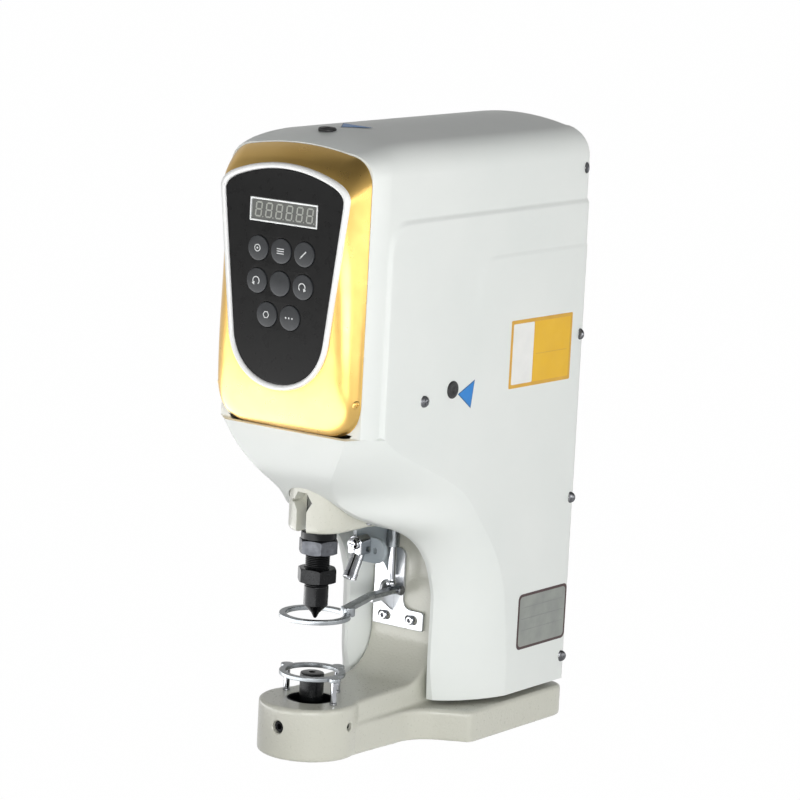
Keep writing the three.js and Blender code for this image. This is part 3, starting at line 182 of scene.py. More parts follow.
def slab(name, loops, low, high, edge=0.0, layout="plan", edgeSteps=3, lowEdge=None):
    # a plate between two depths; loops[0] is its outline, the others are holes; edge rounds its rims
    lay = layouts[layout]
    loops = [list(loop) if (loopArea(loop) > 0) == (i == 0) else list(reversed(loop))
             for i, loop in enumerate(loops)]
    lowEdge = edge if lowEdge is None else lowEdge
    turns = [math.pi / 2 * k / edgeSteps for k in range(edgeSteps + 1)]
    curve = [(1 - math.sin(a), 1 - math.cos(a)) for a in turns]
    rows = []
    for inset, w in ([(lowEdge * u, low + lowEdge * v) for u, v in curve]
                     + [(edge * u, high - edge * v) for u, v in reversed(curve)]):
        if not rows or abs(inset - rows[-1][0]) > 1e-6 or abs(w - rows[-1][1]) > 1e-6:
            rows.append((inset, w))
    verts, faces, caps = [], [], {0: [], len(rows) - 1: []}
    for loop in loops:
        starts = []
        for k, (inset, w) in enumerate(rows):
            moved = shiftLoop(loop, inset) if inset else loop
            starts.append(len(verts))
            verts += [lay(u, v, w) for u, v in moved]
            if k in caps:
                caps[k].append([(starts[-1] + i, moved[i]) for i in range(len(moved))])
        n = len(loop)
        for a, b in zip(starts, starts[1:]):
            faces += [(a + i, a + (i + 1) % n, b + (i + 1) % n, b + i) for i in range(n)]
    for cap in caps.values():
        flat = [item for ring in cap for item in ring]
        for triangle in tessellate_polygon([[Vector((u, v, 0)) for _, (u, v) in ring] for ring in cap]):
            faces.append(tuple(flat[i][0] for i in triangle))
    return makeObject(name, verts, faces)


def softProfile(profile, radius, steps=3):
    # rounds the inner corners of an open profile of (radius, height) points
    if radius <= 0:
        return list(profile)
    result = [profile[0]]
    for before, here, after in zip(profile, profile[1:], profile[2:]):
        here, back, on = Vector(here), Vector(before), Vector(after)
        reach = min(radius, (back - here).length * 0.45, (on - here).length * 0.45)
        if reach < 1e-6:
            result.append(tuple(here))
            continue
        a, b = here + (back - here).normalized() * reach, here + (on - here).normalized() * reach
        for k in range(steps + 1):
            t = k / steps
            result.append(tuple(a * (1 - t) ** 2 + here * 2 * t * (1 - t) + b * t * t))
    result.append(profile[-1])
    return result


def lathe(name, profile, sides=64, edge=0.0):
    # turned about Z; a profile that starts and ends off the axis is closed on itself
    points = softProfile(profile, edge)
    hollow = points[0][0] > 1e-6 and points[-1][0] > 1e-6
    verts, rows, faces = [], [], []
    for radius, height in points:
        if radius < 1e-6:
            rows.append([len(verts)])
            verts.append((0, 0, height))
        else:
            rows.append(list(range(len(verts), len(verts) + sides)))
            turns = [2 * math.pi * i / sides for i in range(sides)]
            verts += [(radius * math.cos(a), radius * math.sin(a), height) for a in turns]
    if hollow:
        rows.append(rows[0])
    for low, high in zip(rows, rows[1:]):
        for i in range(sides):
            j = (i + 1) % sides
            if len(low) == 1 and len(high) > 1:
                faces.append((low[0], high[j], high[i]))
            elif len(high) == 1 and len(low) > 1:
                faces.append((low[i], low[j], high[0]))
            elif len(low) > 1:
                faces.append((low[i], low[j], high[j], high[i]))
    return makeObject(name, verts, faces)


def rod(name, radius, low, high, sides=48, edge=0.0):
    return lathe(name, [(0, low), (radius, low), (radius, high), (0, high)], sides, edge)


def tube(name, outer, inner, low, high, sides=64, edge=0.0):
    middle = (outer + inner) / 2
    return lathe(name, [(middle, low), (outer, low), (outer, high), (inner, high), (inner, low), (middle, low)],
                 sides, edge)


# finishes

def linear(red, green, blue):
    def channel(c):
        c /= 255
        return c / 12.92 if c <= 0.04045 else ((c + 0.055) / 1.055) ** 2.4
    return (channel(red), channel(green), channel(blue), 1)


def blended(nodes, links, first, second, factor):
    mix = nodes.new("ShaderNodeMix")
    mix.data_type = "RGBA"
    for socket, value in (("A", first), ("B", second)):
        target = [s for s in mix.inputs if s.name == socket and s.type == "RGBA"][0]
        if isinstance(value, tuple):
            target.default_value = value
        else:
            links.new(value, target)
    links.new(factor, [s for s in mix.inputs if s.name == "Factor" and s.type == "VALUE"][0])
    return [s for s in mix.outputs if s.type == "RGBA"][0]


def spread(nodes, links, source, low, high, fromLow=0.3, fromHigh=0.7):
    ranged = nodes.new("ShaderNodeMapRange")
    ranged.inputs["From Min"].default_value, ranged.inputs["From Max"].default_value = fromLow, fromHigh
    ranged.inputs["To Min"].default_value, ranged.inputs["To Max"].default_value = low, high
    links.new(source, ranged.inputs["Value"])
    return ranged.outputs["Result"]


def noise(nodes, links, where, scale, detail, stretch=None):
    pattern = nodes.new("ShaderNodeTexNoise")
    pattern.inputs["Scale"].default_value = scale
    pattern.inputs["Detail"].default_value = detail
    if stretch:
        mapping = nodes.new("ShaderNodeMapping")
        mapping.inputs["Scale"].default_value = stretch
        links.new(where, mapping.inputs["Vector"])
        where = mapping.outputs["Vector"]
    links.new(where, pattern.inputs["Vector"])
    return pattern.outputs["Fac"]


# detail is the noise's octaves; scratch is (scale, detail); edges and scratches are the ranges that count
finishBasics = dict(coatRough=0.12, ior=1.5, smearScale=120.0, detail=4.0, reliefDetail=2.0, wearAmount=0.7,
                    scratch=(600.0, 5.0), edges=(0.53, 0.62), scratches=(0.4, 0.65))


def makeFinish(name, spec, basics=finishBasics):
    # spec: colour and its clouded shade, cloudScale, rough (low, high), smearScale, metal, coat, ior,
    # relief [(scale, height, stretch)], wear (the colour of rubbed edges) and wearAmount
    material = bpy.data.materials.new(name)
    material.use_nodes = True
    nodes, links = material.node_tree.nodes, material.node_tree.links
    shader = nodes["Principled BSDF"]
    shader.inputs["Metallic"].default_value = spec.get("metal", 0.0)
    shader.inputs["Coat Weight"].default_value = spec.get("coat", 0.0)
    shader.inputs["Coat Roughness"].default_value = basics["coatRough"]
    shader.inputs["IOR"].default_value = spec.get("ior", basics["ior"])
    where = nodes.new("ShaderNodeTexCoord").outputs["Object"]
    base, other = linear(*spec["colour"]), linear(*spec["clouded"])
    cloud = noise(nodes, links, where, spec["cloudScale"], basics["detail"])
    colour = blended(nodes, links, base, other, spread(nodes, links, cloud, 0.0, 1.0))
    if "wear" in spec:
        # rubbed along the edges
        pointed = nodes.new("ShaderNodeNewGeometry").outputs["Pointiness"]
        scratch = noise(nodes, links, where, *basics["scratch"])
        edge = spread(nodes, links, pointed, 0.0, 1.0, *basics["edges"])
        rub = nodes.new("ShaderNodeMath")
        rub.operation = "MULTIPLY"
        links.new(edge, rub.inputs[0])
        amount = spec.get("wearAmount", basics["wearAmount"])
        links.new(spread(nodes, links, scratch, 0.0, amount, *basics["scratches"]), rub.inputs[1])
        colour = blended(nodes, links, colour, linear(*spec["wear"]), rub.outputs[0])
    links.new(colour, shader.inputs["Base Color"])
    low, high = spec["rough"]
    smear = noise(nodes, links, where, spec.get("smearScale", basics["smearScale"]), basics["detail"])
    links.new(spread(nodes, links, smear, low, high), shader.inputs["Roughness"])
    normal = None
    for scale, height, *stretch in spec.get("relief", []):
        bump = nodes.new("ShaderNodeBump")
        bump.inputs["Strength"].default_value = 1.0
        bump.inputs["Distance"].default_value = height * mm
        pattern = noise(nodes, links, where, scale, basics["reliefDetail"], stretch[0] if stretch else None)
        links.new(pattern, bump.inputs["Height"])
        if normal:
            links.new(normal, bump.inputs["Normal"])
        normal = bump.outputs["Normal"]
    if normal:
        links.new(normal, shader.inputs["Normal"])
    return material


foil = dict(rough=(0.34, 0.46), relief=[(900, 0.008)])
finishes = {name: makeFinish(name, spec) for name, spec in {
    "hammeredPaint": dict(colour=(197, 197, 186), clouded=(195, 195, 183), cloudScale=5, rough=(0.27, 0.3),
                          coat=0.22, smearScale=500, relief=[(420, 0.26), (1300, 0.06)],
                          wear=(170, 170, 165), wearAmount=0.2),
    "shellPlastic": dict(colour=(229, 232, 229), clouded=(224, 228, 225), cloudScale=9, rough=(0.34, 0.4),
                         ior=1.3, relief=[(1800, 0.012), (60, 0.03)]),
    "lipPlastic": dict(colour=(244, 244, 243), clouded=(238, 239, 238), cloudScale=30, rough=(0.22, 0.3),
                       relief=[(1500, 0.008)]),
    "goldPaint": dict(colour=(206, 170, 98), clouded=(200, 163, 90), cloudScale=25, rough=(0.27, 0.33),
                      metal=0.92, coat=0.1, relief=[(2600, 0.004)]),
    "panelFoil": dict(colour=(15, 15, 15), clouded=(13, 13, 13), cloudScale=25, rough=(0.26, 0.32), ior=1.22,
                      relief=[(1200, 0.002)]),
    "keyCap": dict(colour=(52, 54, 57), clouded=(44, 46, 48), cloudScale=90, rough=(0.3, 0.42), ior=1.3,
                   relief=[(2200, 0.01)]),
    "iconPrint": dict(colour=(226, 228, 228), clouded=(205, 208, 208), cloudScale=500, rough=(0.45, 0.6)),
    "displayWindow": dict(colour=(98, 99, 95), clouded=(90, 92, 89), cloudScale=60, rough=(0.16, 0.24),
                          coat=0.15, relief=[(80, 0.01)]),
    "displayFrame": dict(colour=(205, 207, 206), clouded=(188, 190, 190), cloudScale=300, rough=(0.3, 0.42),
                         metal=0.4, relief=[(1500, 0.01)]),
    "displaySegment": dict(colour=(166, 168, 161), clouded=(155, 158, 151), cloudScale=300, rough=(0.3, 0.4)),
    "chromePlate": dict(colour=(178, 180, 184), clouded=(160, 162, 167), cloudScale=70, rough=(0.05, 0.14),
                        metal=1.0, relief=[(150, 0.012)], wear=(220, 220, 220), wearAmount=0.3),
    "nickelSheet": dict(colour=(206, 208, 210), clouded=(190, 193, 197), cloudScale=60, rough=(0.3, 0.42),
                        metal=0.9, relief=[(220, 0.02)], wear=(240, 240, 240), wearAmount=0.4),
    "zincSteel": dict(colour=(150, 154, 157), clouded=(130, 134, 137), cloudScale=90, rough=(0.24, 0.38), metal=0.92,
                      relief=[(320, 0.02)], wear=(214, 216, 218), wearAmount=0.5),
    "blackOxide": dict(colour=(19, 20, 21), clouded=(13, 14, 15), cloudScale=120, rough=(0.14, 0.22), metal=0.4,
                       ior=1.3, relief=[(700, 0.01)], wear=(86, 88, 92), wearAmount=0.4),
    "wornNut": dict(colour=(86, 88, 93), clouded=(56, 58, 62), cloudScale=150, rough=(0.34, 0.5), metal=0.7,
                    relief=[(500, 0.03)], wear=(160, 162, 166), wearAmount=0.6),
    "groundSteel": dict(colour=(150, 152, 155), clouded=(128, 130, 134), cloudScale=200, rough=(0.25, 0.4),
                        metal=0.9, relief=[(900, 0.015, (1, 1, 12))], wear=(200, 202, 204)),
    "screwSteel": dict(colour=(112, 113, 116), clouded=(84, 85, 88), cloudScale=400, rough=(0.22, 0.38), metal=0.9,
                       relief=[(1400, 0.015)], wear=(190, 191, 193)),
    "bluegreyPaint": dict(colour=(152, 161, 166), clouded=(140, 149, 155), cloudScale=50, rough=(0.34, 0.48),
                          coat=0.15, relief=[(420, 0.05)], wear=(190, 192, 192), wearAmount=0.5),
    "driveAluminium": dict(colour=(172, 175, 178), clouded=(158, 161, 165), cloudScale=80, rough=(0.34, 0.5),
                           metal=0.9, relief=[(800, 0.02, (1, 1, 0.1))], wear=(215, 215, 215)),
    "bushBronze": dict(colour=(178, 136, 72), clouded=(156, 112, 54), cloudScale=120, rough=(0.26, 0.4),
                       metal=0.9, relief=[(900, 0.015)], wear=(214, 178, 116)),
    "plugRubber": dict(colour=(24, 24, 25), clouded=(34, 34, 35), cloudScale=300, rough=(0.42, 0.62),
                       relief=[(1300, 0.03)]),
    "boardLacquer": dict(colour=(34, 92, 58), clouded=(26, 76, 46), cloudScale=160, rough=(0.28, 0.4),
                         relief=[(900, 0.03)]),
    "motorEnamel": dict(colour=(36, 38, 41), clouded=(28, 30, 32), cloudScale=90, rough=(0.34, 0.5), metal=0.1,
                        relief=[(700, 0.04)], wear=(88, 90, 92)),
    "yellowFoil": dict(colour=(232, 184, 24), clouded=(226, 176, 20), cloudScale=40, **foil),
    "amberBorder": dict(colour=(216, 166, 50), clouded=(206, 156, 44), cloudScale=60, **foil),
    "whiteFoil": dict(colour=(236, 236, 233), clouded=(228, 229, 226), cloudScale=50, rough=(0.36, 0.48),
                      relief=[(900, 0.008)]),
    "deepBlueFoil": dict(colour=(44, 104, 152), clouded=(38, 94, 140), cloudScale=60, **foil),
    "plateRule": dict(colour=(132, 134, 134), clouded=(120, 122, 122), cloudScale=90, rough=(0.4, 0.5),
                      relief=[(900, 0.008)]),
    "switchPlastic": dict(colour=(30, 30, 31), clouded=(24, 24, 25), cloudScale=90, rough=(0.3, 0.42),
                          relief=[(1500, 0.02)]),
    "blueFoil": dict(colour=(24, 130, 208), clouded=(20, 118, 196), cloudScale=60, **foil),
    "plateTin": dict(colour=(146, 150, 144), clouded=(134, 138, 134), cloudScale=60, rough=(0.3, 0.44),
                     metal=0.3, relief=[(1200, 0.012, (1, 8, 1))]),
    "plateInk": dict(colour=(66, 42, 42), clouded=(58, 36, 36), cloudScale=200, rough=(0.4, 0.5)),
}.items()}
print("finishes made:", len(finishes))


# camera, floor and light

cameraView = dict(azimuth=0.62168, elevation=0.17574, roll=0.0518, focal=3679.52,
                  at=(1796.51, -2401.62, 834.61), picture=800, sensor=36.0, clip=(0.05, 50))


def makeCamera(view):
    a, e, r = view["azimuth"], view["elevation"], view["roll"]
    back = Vector((math.sin(a) * math.cos(e), -math.cos(a) * math.cos(e), math.sin(e)))
    right = (-back).cross(Vector((0, 0, 1))).normalized()
    up = right.cross(-back)
    level = right * math.cos(r) + up * math.sin(r)
    upright = -right * math.sin(r) + up * math.cos(r)
    data = bpy.data.cameras.new("pressCamera")
    data.sensor_width = view["sensor"]
    data.lens = view["focal"] / view["picture"] * view["sensor"]
    data.clip_start, data.clip_end = view["clip"]
    camera = addObject("pressCamera", data)
    turn = Matrix((level, upright, back)).transposed().to_4x4()
    camera.matrix_world = Matrix.Translation(Vector(view["at"]) * mm) @ turn
    scene.camera = camera


def seenDirectly(nodes, links):
    # 1 for rays that come straight from the camera or by way of metal and glass
    path = nodes.new("ShaderNodeLightPath")
    total = path.outputs["Is Camera Ray"]
    for other in ("Is Glossy Ray", "Is Transmission Ray"):
        add = nodes.new("ShaderNodeMath")
        add.operation = "MAXIMUM"
        links.new(total, add.inputs[0])
        links.new(path.outputs[other], add.inputs[1])
        total = add.outputs[0]
    return total


# the lamps' places and sizes are in metres
studio = dict(
    floorWidth=60.0, floorZ=-0.0002, floorGlow=0.995, paper=0.86,
    sky=(0.17, 0.17, 0.175), horizon=(1.0, 1.0, 0.99), skyStrength=0.8, skyFade=(0.05, 0.85),
    lamps={"rightSoftbox": dict(at=(1.9, 0.1, 0.26), size=(2.2, 0.5), watts=9.5, aim=(0, 0.12, 0.26)),
           "frontSoftbox": dict(at=(1.3, -1.5, 0.28), size=(1.25, 0.5), watts=19, aim=(0, 0, 0.24)),
           "lowPanel": dict(at=(-0.42, -0.6, 0.06), size=(1.2, 1.15), watts=19, aim=(-0.37, -0.53, 1.056),
                            mirrored=True),
           "topPanel": dict(at=(-0.8, 0.35, 1.3), size=(1.2, 1.2), watts=1.5, aim=(0, -0.05, 0.5), mirrored=True),
           "baseLamp": dict(at=(-0.3, -0.6, 0.5), size=(0.3, 0.12), watts=0.4, aim=(0, -0.02, 0.03))})


def makeStudio(look):
    half, low = look["floorWidth"] / 2, look["floorZ"]
    mesh = bpy.data.meshes.new("studioFloor")
    mesh.from_pydata([(-half, -half, low), (half, -half, low), (half, half, low), (-half, half, low)],
                     [], [(0, 1, 2, 3)])
    floor = addObject("studioFloor", mesh)
    material = bpy.data.materials.new("floorPaper")
    material.use_nodes = True
    nodes, links = material.node_tree.nodes, material.node_tree.links
    nodes.clear()
    out, paper = nodes.new("ShaderNodeOutputMaterial"), nodes.new("ShaderNodeBsdfDiffuse")
    glow, mix = nodes.new("ShaderNodeEmission"), nodes.new("ShaderNodeMixShader")
    paper.inputs["Color"].default_value = (*[look["paper"]] * 3, 1)
    glow.inputs["Color"].default_value = (1, 1, 1, 1)
    share = nodes.new("ShaderNodeMath")
    share.operation = "MULTIPLY"
    share.inputs[1].default_value = look["floorGlow"]
    links.new(seenDirectly(nodes, links), share.inputs[0])
    links.new(share.outputs[0], mix.inputs[0])
    links.new(paper.outputs[0], mix.inputs[1])
    links.new(glow.outputs[0], mix.inputs[2])
    links.new(mix.outputs[0], out.inputs[0])
    floor.data.materials.append(material)

    world = bpy.data.worlds.new("studioWorld")
    scene.world = world
    world.use_nodes = True
    nodes, links = world.node_tree.nodes, world.node_tree.links
    nodes.clear()
    out = nodes.new("ShaderNodeOutputWorld")
    soft, white, mix = (nodes.new("ShaderNodeBackground"), nodes.new("ShaderNodeBackground"),
                        nodes.new("ShaderNodeMixShader"))
    split = nodes.new("ShaderNodeSeparateXYZ")
    links.new(nodes.new("ShaderNodeTexCoord").outputs["Generated"], split.inputs[0])
    height = spread(nodes, links, split.outputs["Z"], 0.0, 1.0, *look["skyFade"])
    links.new(blended(nodes, links, (*look["horizon"], 1), (*look["sky"], 1), height), soft.inputs["Color"])
    soft.inputs["Strength"].default_value = look["skyStrength"]
    white.inputs["Color"].default_value = (1, 1, 1, 1)
    path = nodes.new("ShaderNodeLightPath")
    links.new(path.outputs["Is Camera Ray"], mix.inputs[0])
    links.new(soft.outputs[0], mix.inputs[1])
    links.new(white.outputs[0], mix.inputs[2])
    links.new(mix.outputs[0], out.inputs[0])

    for name, lamp in look["lamps"].items():
        data = bpy.data.lights.new(name, "AREA")
        data.shape, data.size, data.size_y = "RECTANGLE", *lamp["size"]
        data.energy = lamp["watts"]
        light = addObject(name, data)
        light.location = lamp["at"]
        aim = Vector(lamp["aim"]) - Vector(lamp["at"])
        light.rotation_euler = aim.to_track_quat("-Z", "Y").to_euler()
        # a mirrored panel is seen in glossy surfaces alone
        light.visible_diffuse = light.visible_camera = not lamp.get("mirrored", False)


scene.view_settings.view_transform = "Standard"
makeCamera(cameraView)
makeStudio(studio)
print("camera and light set")


# frame casting

castingForm = dict(
    plateHeight=27, plateHalf=85, plateRear=262, plateCorner=14, waistHalf=39.5, waistY=22, bend=(43, 93),
    bendRadius=34, shoulderY=116.5, shoulderRadius=7, noseRadius=42, noseY=-3, noseHeight=45, webHalf=34,
    webLow=8, webEdge=3.2, flare=0.09, flareY=(92, 70), flareZ=(60, 15), columnFront=126, columnRear=200,
    foot=36, throat=32, armBottom=190, armTop=300, headRadius=26, headShoulderY=36, headFlareY=62, headRoot=14,
    edge=2.6, lowEdge=1.0, grain=1.5, keep=0.34)


def arc(u, v, radius, start, end, steps=10):
    return circleLoop(radius, u, v, steps, start, end)


def headLoop(grow, end):
    # plan of the arm's round head, back to y = end
    form = castingForm
    r, arm = form["headRadius"] + grow, form["webHalf"] + grow
    return arc(0, 0, r, 180, 360, 32) + [(r, form["headShoulderY"]), (arm, form["headFlareY"]), (arm, end),
                                         (-arm, end), (-arm, form["headFlareY"]), (-r, form["headShoulderY"])]


def makeCasting(form):
    p, web, rear, shoulder = form["plateHalf"], form["webHalf"], form["plateRear"], form["shoulderRadius"]
    bend, waist = form["bend"], (form["waistHalf"], form["waistY"])
    plan = roundLoop([
        (p, form["shoulderY"], shoulder), (p, rear, form["plateCorner"]), (-p, rear, form["plateCorner"]),
        (-p, form["shoulderY"], shoulder), (-bend[0], bend[1], form["bendRadius"]), (-waist[0], waist[1]),
        (-waist[0], 0), (waist[0], 0), waist, (bend[0], bend[1], form["bendRadius"])], 10)
    plate = slab("plate", [plan], 0, form["plateHeight"], form["edge"], lowEdge=form["lowEdge"])
    nose = rod("nose", form["noseRadius"], 0, form["noseHeight"], 96, form["edge"])
    place(nose, to=(0, form["noseY"], 0))
    front, top, foot, throat = form["columnFront"], form["noseHeight"], form["foot"], form["throat"]
    low = form["webLow"]
    side = [(0, low), (0, top)] + arc(front - foot, top + foot, foot, -90, 0, 12)
    side += arc(front - throat, form["armBottom"] - throat, throat, 0, 90, 12)
    side += [(form["headFlareY"], form["armBottom"]), (form["headFlareY"], form["armTop"]),
             (form["columnRear"], form["armTop"]), (form["columnRear"], low)]
    column = slab("column", [list(reversed(side))], -web, web, form["webEdge"], "side", 4)
    (startY, run), (endZ, fade) = form["flareY"], form["flareZ"]
    for vertex in column.data.vertices:
        # the web widens a little towards the nose
        y, z = vertex.co.y / mm, vertex.co.z / mm
        vertex.co.x *= 1 + form["flare"] * min(max((startY - y) / run, 0), 1) * min(max((endZ - z) / fade, 0), 1)
    head = slab("head", [headLoop(0, form["headFlareY"] + form["headRoot"])], form["armBottom"], form["armTop"],
                form["edge"], edgeSteps=4)
    block = joinUp("pressCasting", [plate, nose, column, head])
    for kind, settings in (("REMESH", dict(mode="VOXEL", voxel_size=form["grain"] * mm)),
                           ("SMOOTH", dict(factor=0.5, iterations=5)),
                           ("DECIMATE", dict(ratio=form["keep"]))):
        step = block.modifiers.new(kind.lower(), kind)
        for key, value in settings.items():
            setattr(step, key, value)
    settle(block)
    return block


# frontScrew and sideScrew are (z, radius), flares are (depth, flare, end)
castingBores = dict(recess=(20.5, 34), dieSeat=(10.5, 9), ram=12.9, ramTop=303, keyhole=5.1, keyholeTop=216,
                    keyholeHex=9.5, keyholeDepth=14, pinhole=(-10.2, 216, 1.6), rim=1, past=3,
                    frontScrew=(27.5, 5.5), frontFlare=(31, 1.3, 36), sideScrew=(27.5, 3.4), sideFlare=(28, 1, 33),
                    rodBore=(107, 5.9, 150))


def flaredBore(name, radius, flare, sides):
    # a round cutter that widens where it comes out
    deep, wider, end = flare
    return lathe(name, [(0, 0), (radius, 0), (radius, deep), (radius + wider, deep + wider),
                        (radius + wider, end), (0, end)], sides)


def boreCasting(block, bores):
    top, low, r = castingForm["noseHeight"], castingForm["armBottom"], castingForm["headRadius"]
    reach, rim, past = castingForm["noseRadius"], bores["rim"], bores["past"]
    radius, floor = bores["recess"]
    seat, seatFloor = bores["dieSeat"]
    well = lathe("well", [(0, seatFloor), (seat, seatFloor), (seat, floor), (radius, floor), (radius, top - rim),
                          (radius + rim, top), (radius + rim, top + past), (0, top + past)], 72)
    ram, ramTop = bores["ram"], bores["ramTop"]
    ramBore = lathe("ramBore", [(0, low - past), (ram + rim, low - past), (ram + rim, low), (ram, low + rim),
                                (ram, ramTop), (0, ramTop)], 64)
    half, hexTop = bores["keyhole"], bores["keyholeTop"]
    hexCut = slab("hexCut", [circleLoop(bores["keyholeHex"], 0, hexTop, 6)], -r - past, -r + bores["keyholeDepth"],
                  0, "front")
    slot = slab("slotCut", [boxLoop(-half, half, low - past, hexTop)], -r - past, -2, 0, "front")
    keyhole = combine(hexCut, [slot], "UNION")
    x, z, radius = bores["pinhole"]
    pin = place(rod("pin", radius, 0, 14, 24), ("X", 90), (x, -r + 10, z))
    z, radius = bores["frontScrew"]
    frontBore = place(flaredBore("frontBore", radius, bores["frontFlare"], 40), ("X", 90),
                      (0, castingForm["noseY"] - reach + 32, z))
    z, radius = bores["sideScrew"]
    sideBore = place(flaredBore("sideBore", radius, bores["sideFlare"], 32), ("Y", 90), (reach - 29, 0, z))
    y, radius, start = bores["rodBore"]
    rodBore = place(rod("rodBore", radius, start, ramTop, 32), to=(0, y, 0))
    return combine(block, [well, ramBore, keyhole, pin, frontBore, sideBore, rodBore])


casting = boreCasting(makeCasting(castingForm), castingBores)
finishPiece(casting, "frame", "hammeredPaint", ["frame_casting"], 42)
print("casting made:", len(casting.data.polygons), "faces")


# moulded shell

shellForm = dict(
    half=80, wall=3.2, bottom=31, chin=280, ledge=281.5, shoulderZ=494, topEdge=520, crown=6, shoulder=26,
    rear=263, rearRadius=8, front=-47, frontHalf=72, frontShoulder=-28, browY=12, browDrop=10,
    chinFront=-54, throatEdge=112, throatShoulder=172,
    fieldProud=3, fieldFront=-28, fieldTop=458.5, fieldRadius=26, fieldSlope=4.2, fieldFade=(262, 285),
    seamFront=100, seamTop=419, seamRadius=24, seamSlope=2.2, seamProud=0.85, seamFade=(352, 396),
    rearCurl=3, archSteps=9, crownSteps=6, evening=6)

# rise, reach, front half width and shoulder place up to the chin, as shares
shellSections = [
    (0.000, 0.000, 0.575, 0.000), (0.118, 0.039, 0.575, 0.000), (0.375, 0.034, 0.575, 0.045),
    (0.491, 0.095, 0.575, 0.105), (0.567, 0.193, 0.575, 0.170), (0.615, 0.301, 0.575, 0.225),
    (0.647, 0.446, 0.575, 0.260), (0.671, 0.560, 0.540, 0.285), (0.703, 0.675, 0.450, 0.315),
    (0.739, 0.747, 0.363, 0.360), (0.768, 0.795, 0.325, 0.400), (0.800, 0.855, 0.375, 0.470),
    (0.840, 0.910, 0.475, 0.580), (0.888, 0.952, 0.588, 0.710), (0.944, 0.982, 0.700, 0.885),
    (1.000, 1.000, 0.775, 0.980)]


def evened(values, width):
    reach = int(3 * width)
    bell = np.exp(-0.5 * (np.arange(-reach, reach + 1) / width) ** 2)
    return np.convolve(np.pad(values, reach, mode="reflect", reflect_type="odd"), bell / bell.sum(), mode="valid")


def sectionCurves(form, rows):
    table = np.array(rows)
    heights = np.arange(form["bottom"], form["chin"] + 1.0)
    rises = form["bottom"] + table[:, 0] * (form["chin"] - form["bottom"])
    columns = (form["throatEdge"] + table[:, 1] * (form["chinFront"] - form["throatEdge"]),
               table[:, 2] * form["half"],
               form["throatShoulder"] + table[:, 3] * (form["frontShoulder"] - form["throatShoulder"]))
    return heights, [evened(np.interp(heights, rises, column), form["evening"]) for column in columns]


def ramp(value, low, high):
    t = min(max((value - low) / (high - low), 0), 1)
    return t * t * (3 - 2 * t)


def fieldHeight(y, z, front, top, radius, slope):
    # 1 inside a field with a rounded upper front corner, falling to 0 across its sloped border
    cy, cz = front + radius, top - radius
    if y < cy and z > cz:
        depth = radius - math.hypot(y - cy, z - cz)
    else:
        depth = min(y - front, top - z)
    return ramp(depth, 0, slope)


def flankHalf(form, y, z):
    field = fieldHeight(y, z, form["fieldFront"], form["fieldTop"], form["fieldRadius"], form["fieldSlope"])
    below = 1 - ramp(z, *form["fieldFade"])
    half = form["half"] - form["fieldProud"] * (1 - max(field, below))
    seam = fieldHeight(y, z, form["seamFront"], form["seamTop"], form["seamRadius"], form["seamSlope"])
    return half - form["seamProud"] * (1 - seam) * ramp(z, *form["seamFade"]) * field


shellFrontSteps = 6
shellFlareSteps = 20
# closer together where the flank's field and seam begin and at the rear edge
shellFlankShares = [0.006, 0.012, 0.018, 0.025, 0.033, 0.044, 0.06, 0.08, 0.105, 0.135, 0.17, 0.21, 0.25, 0.29,
                    0.33, 0.37, 0.4, 0.42, 0.435, 0.45, 0.465, 0.48, 0.5, 0.53, 0.57, 0.62, 0.68, 0.75, 0.82,
                    0.88, 0.93, 0.96, 0.975, 0.985, 0.992, 0.997, 1.0]


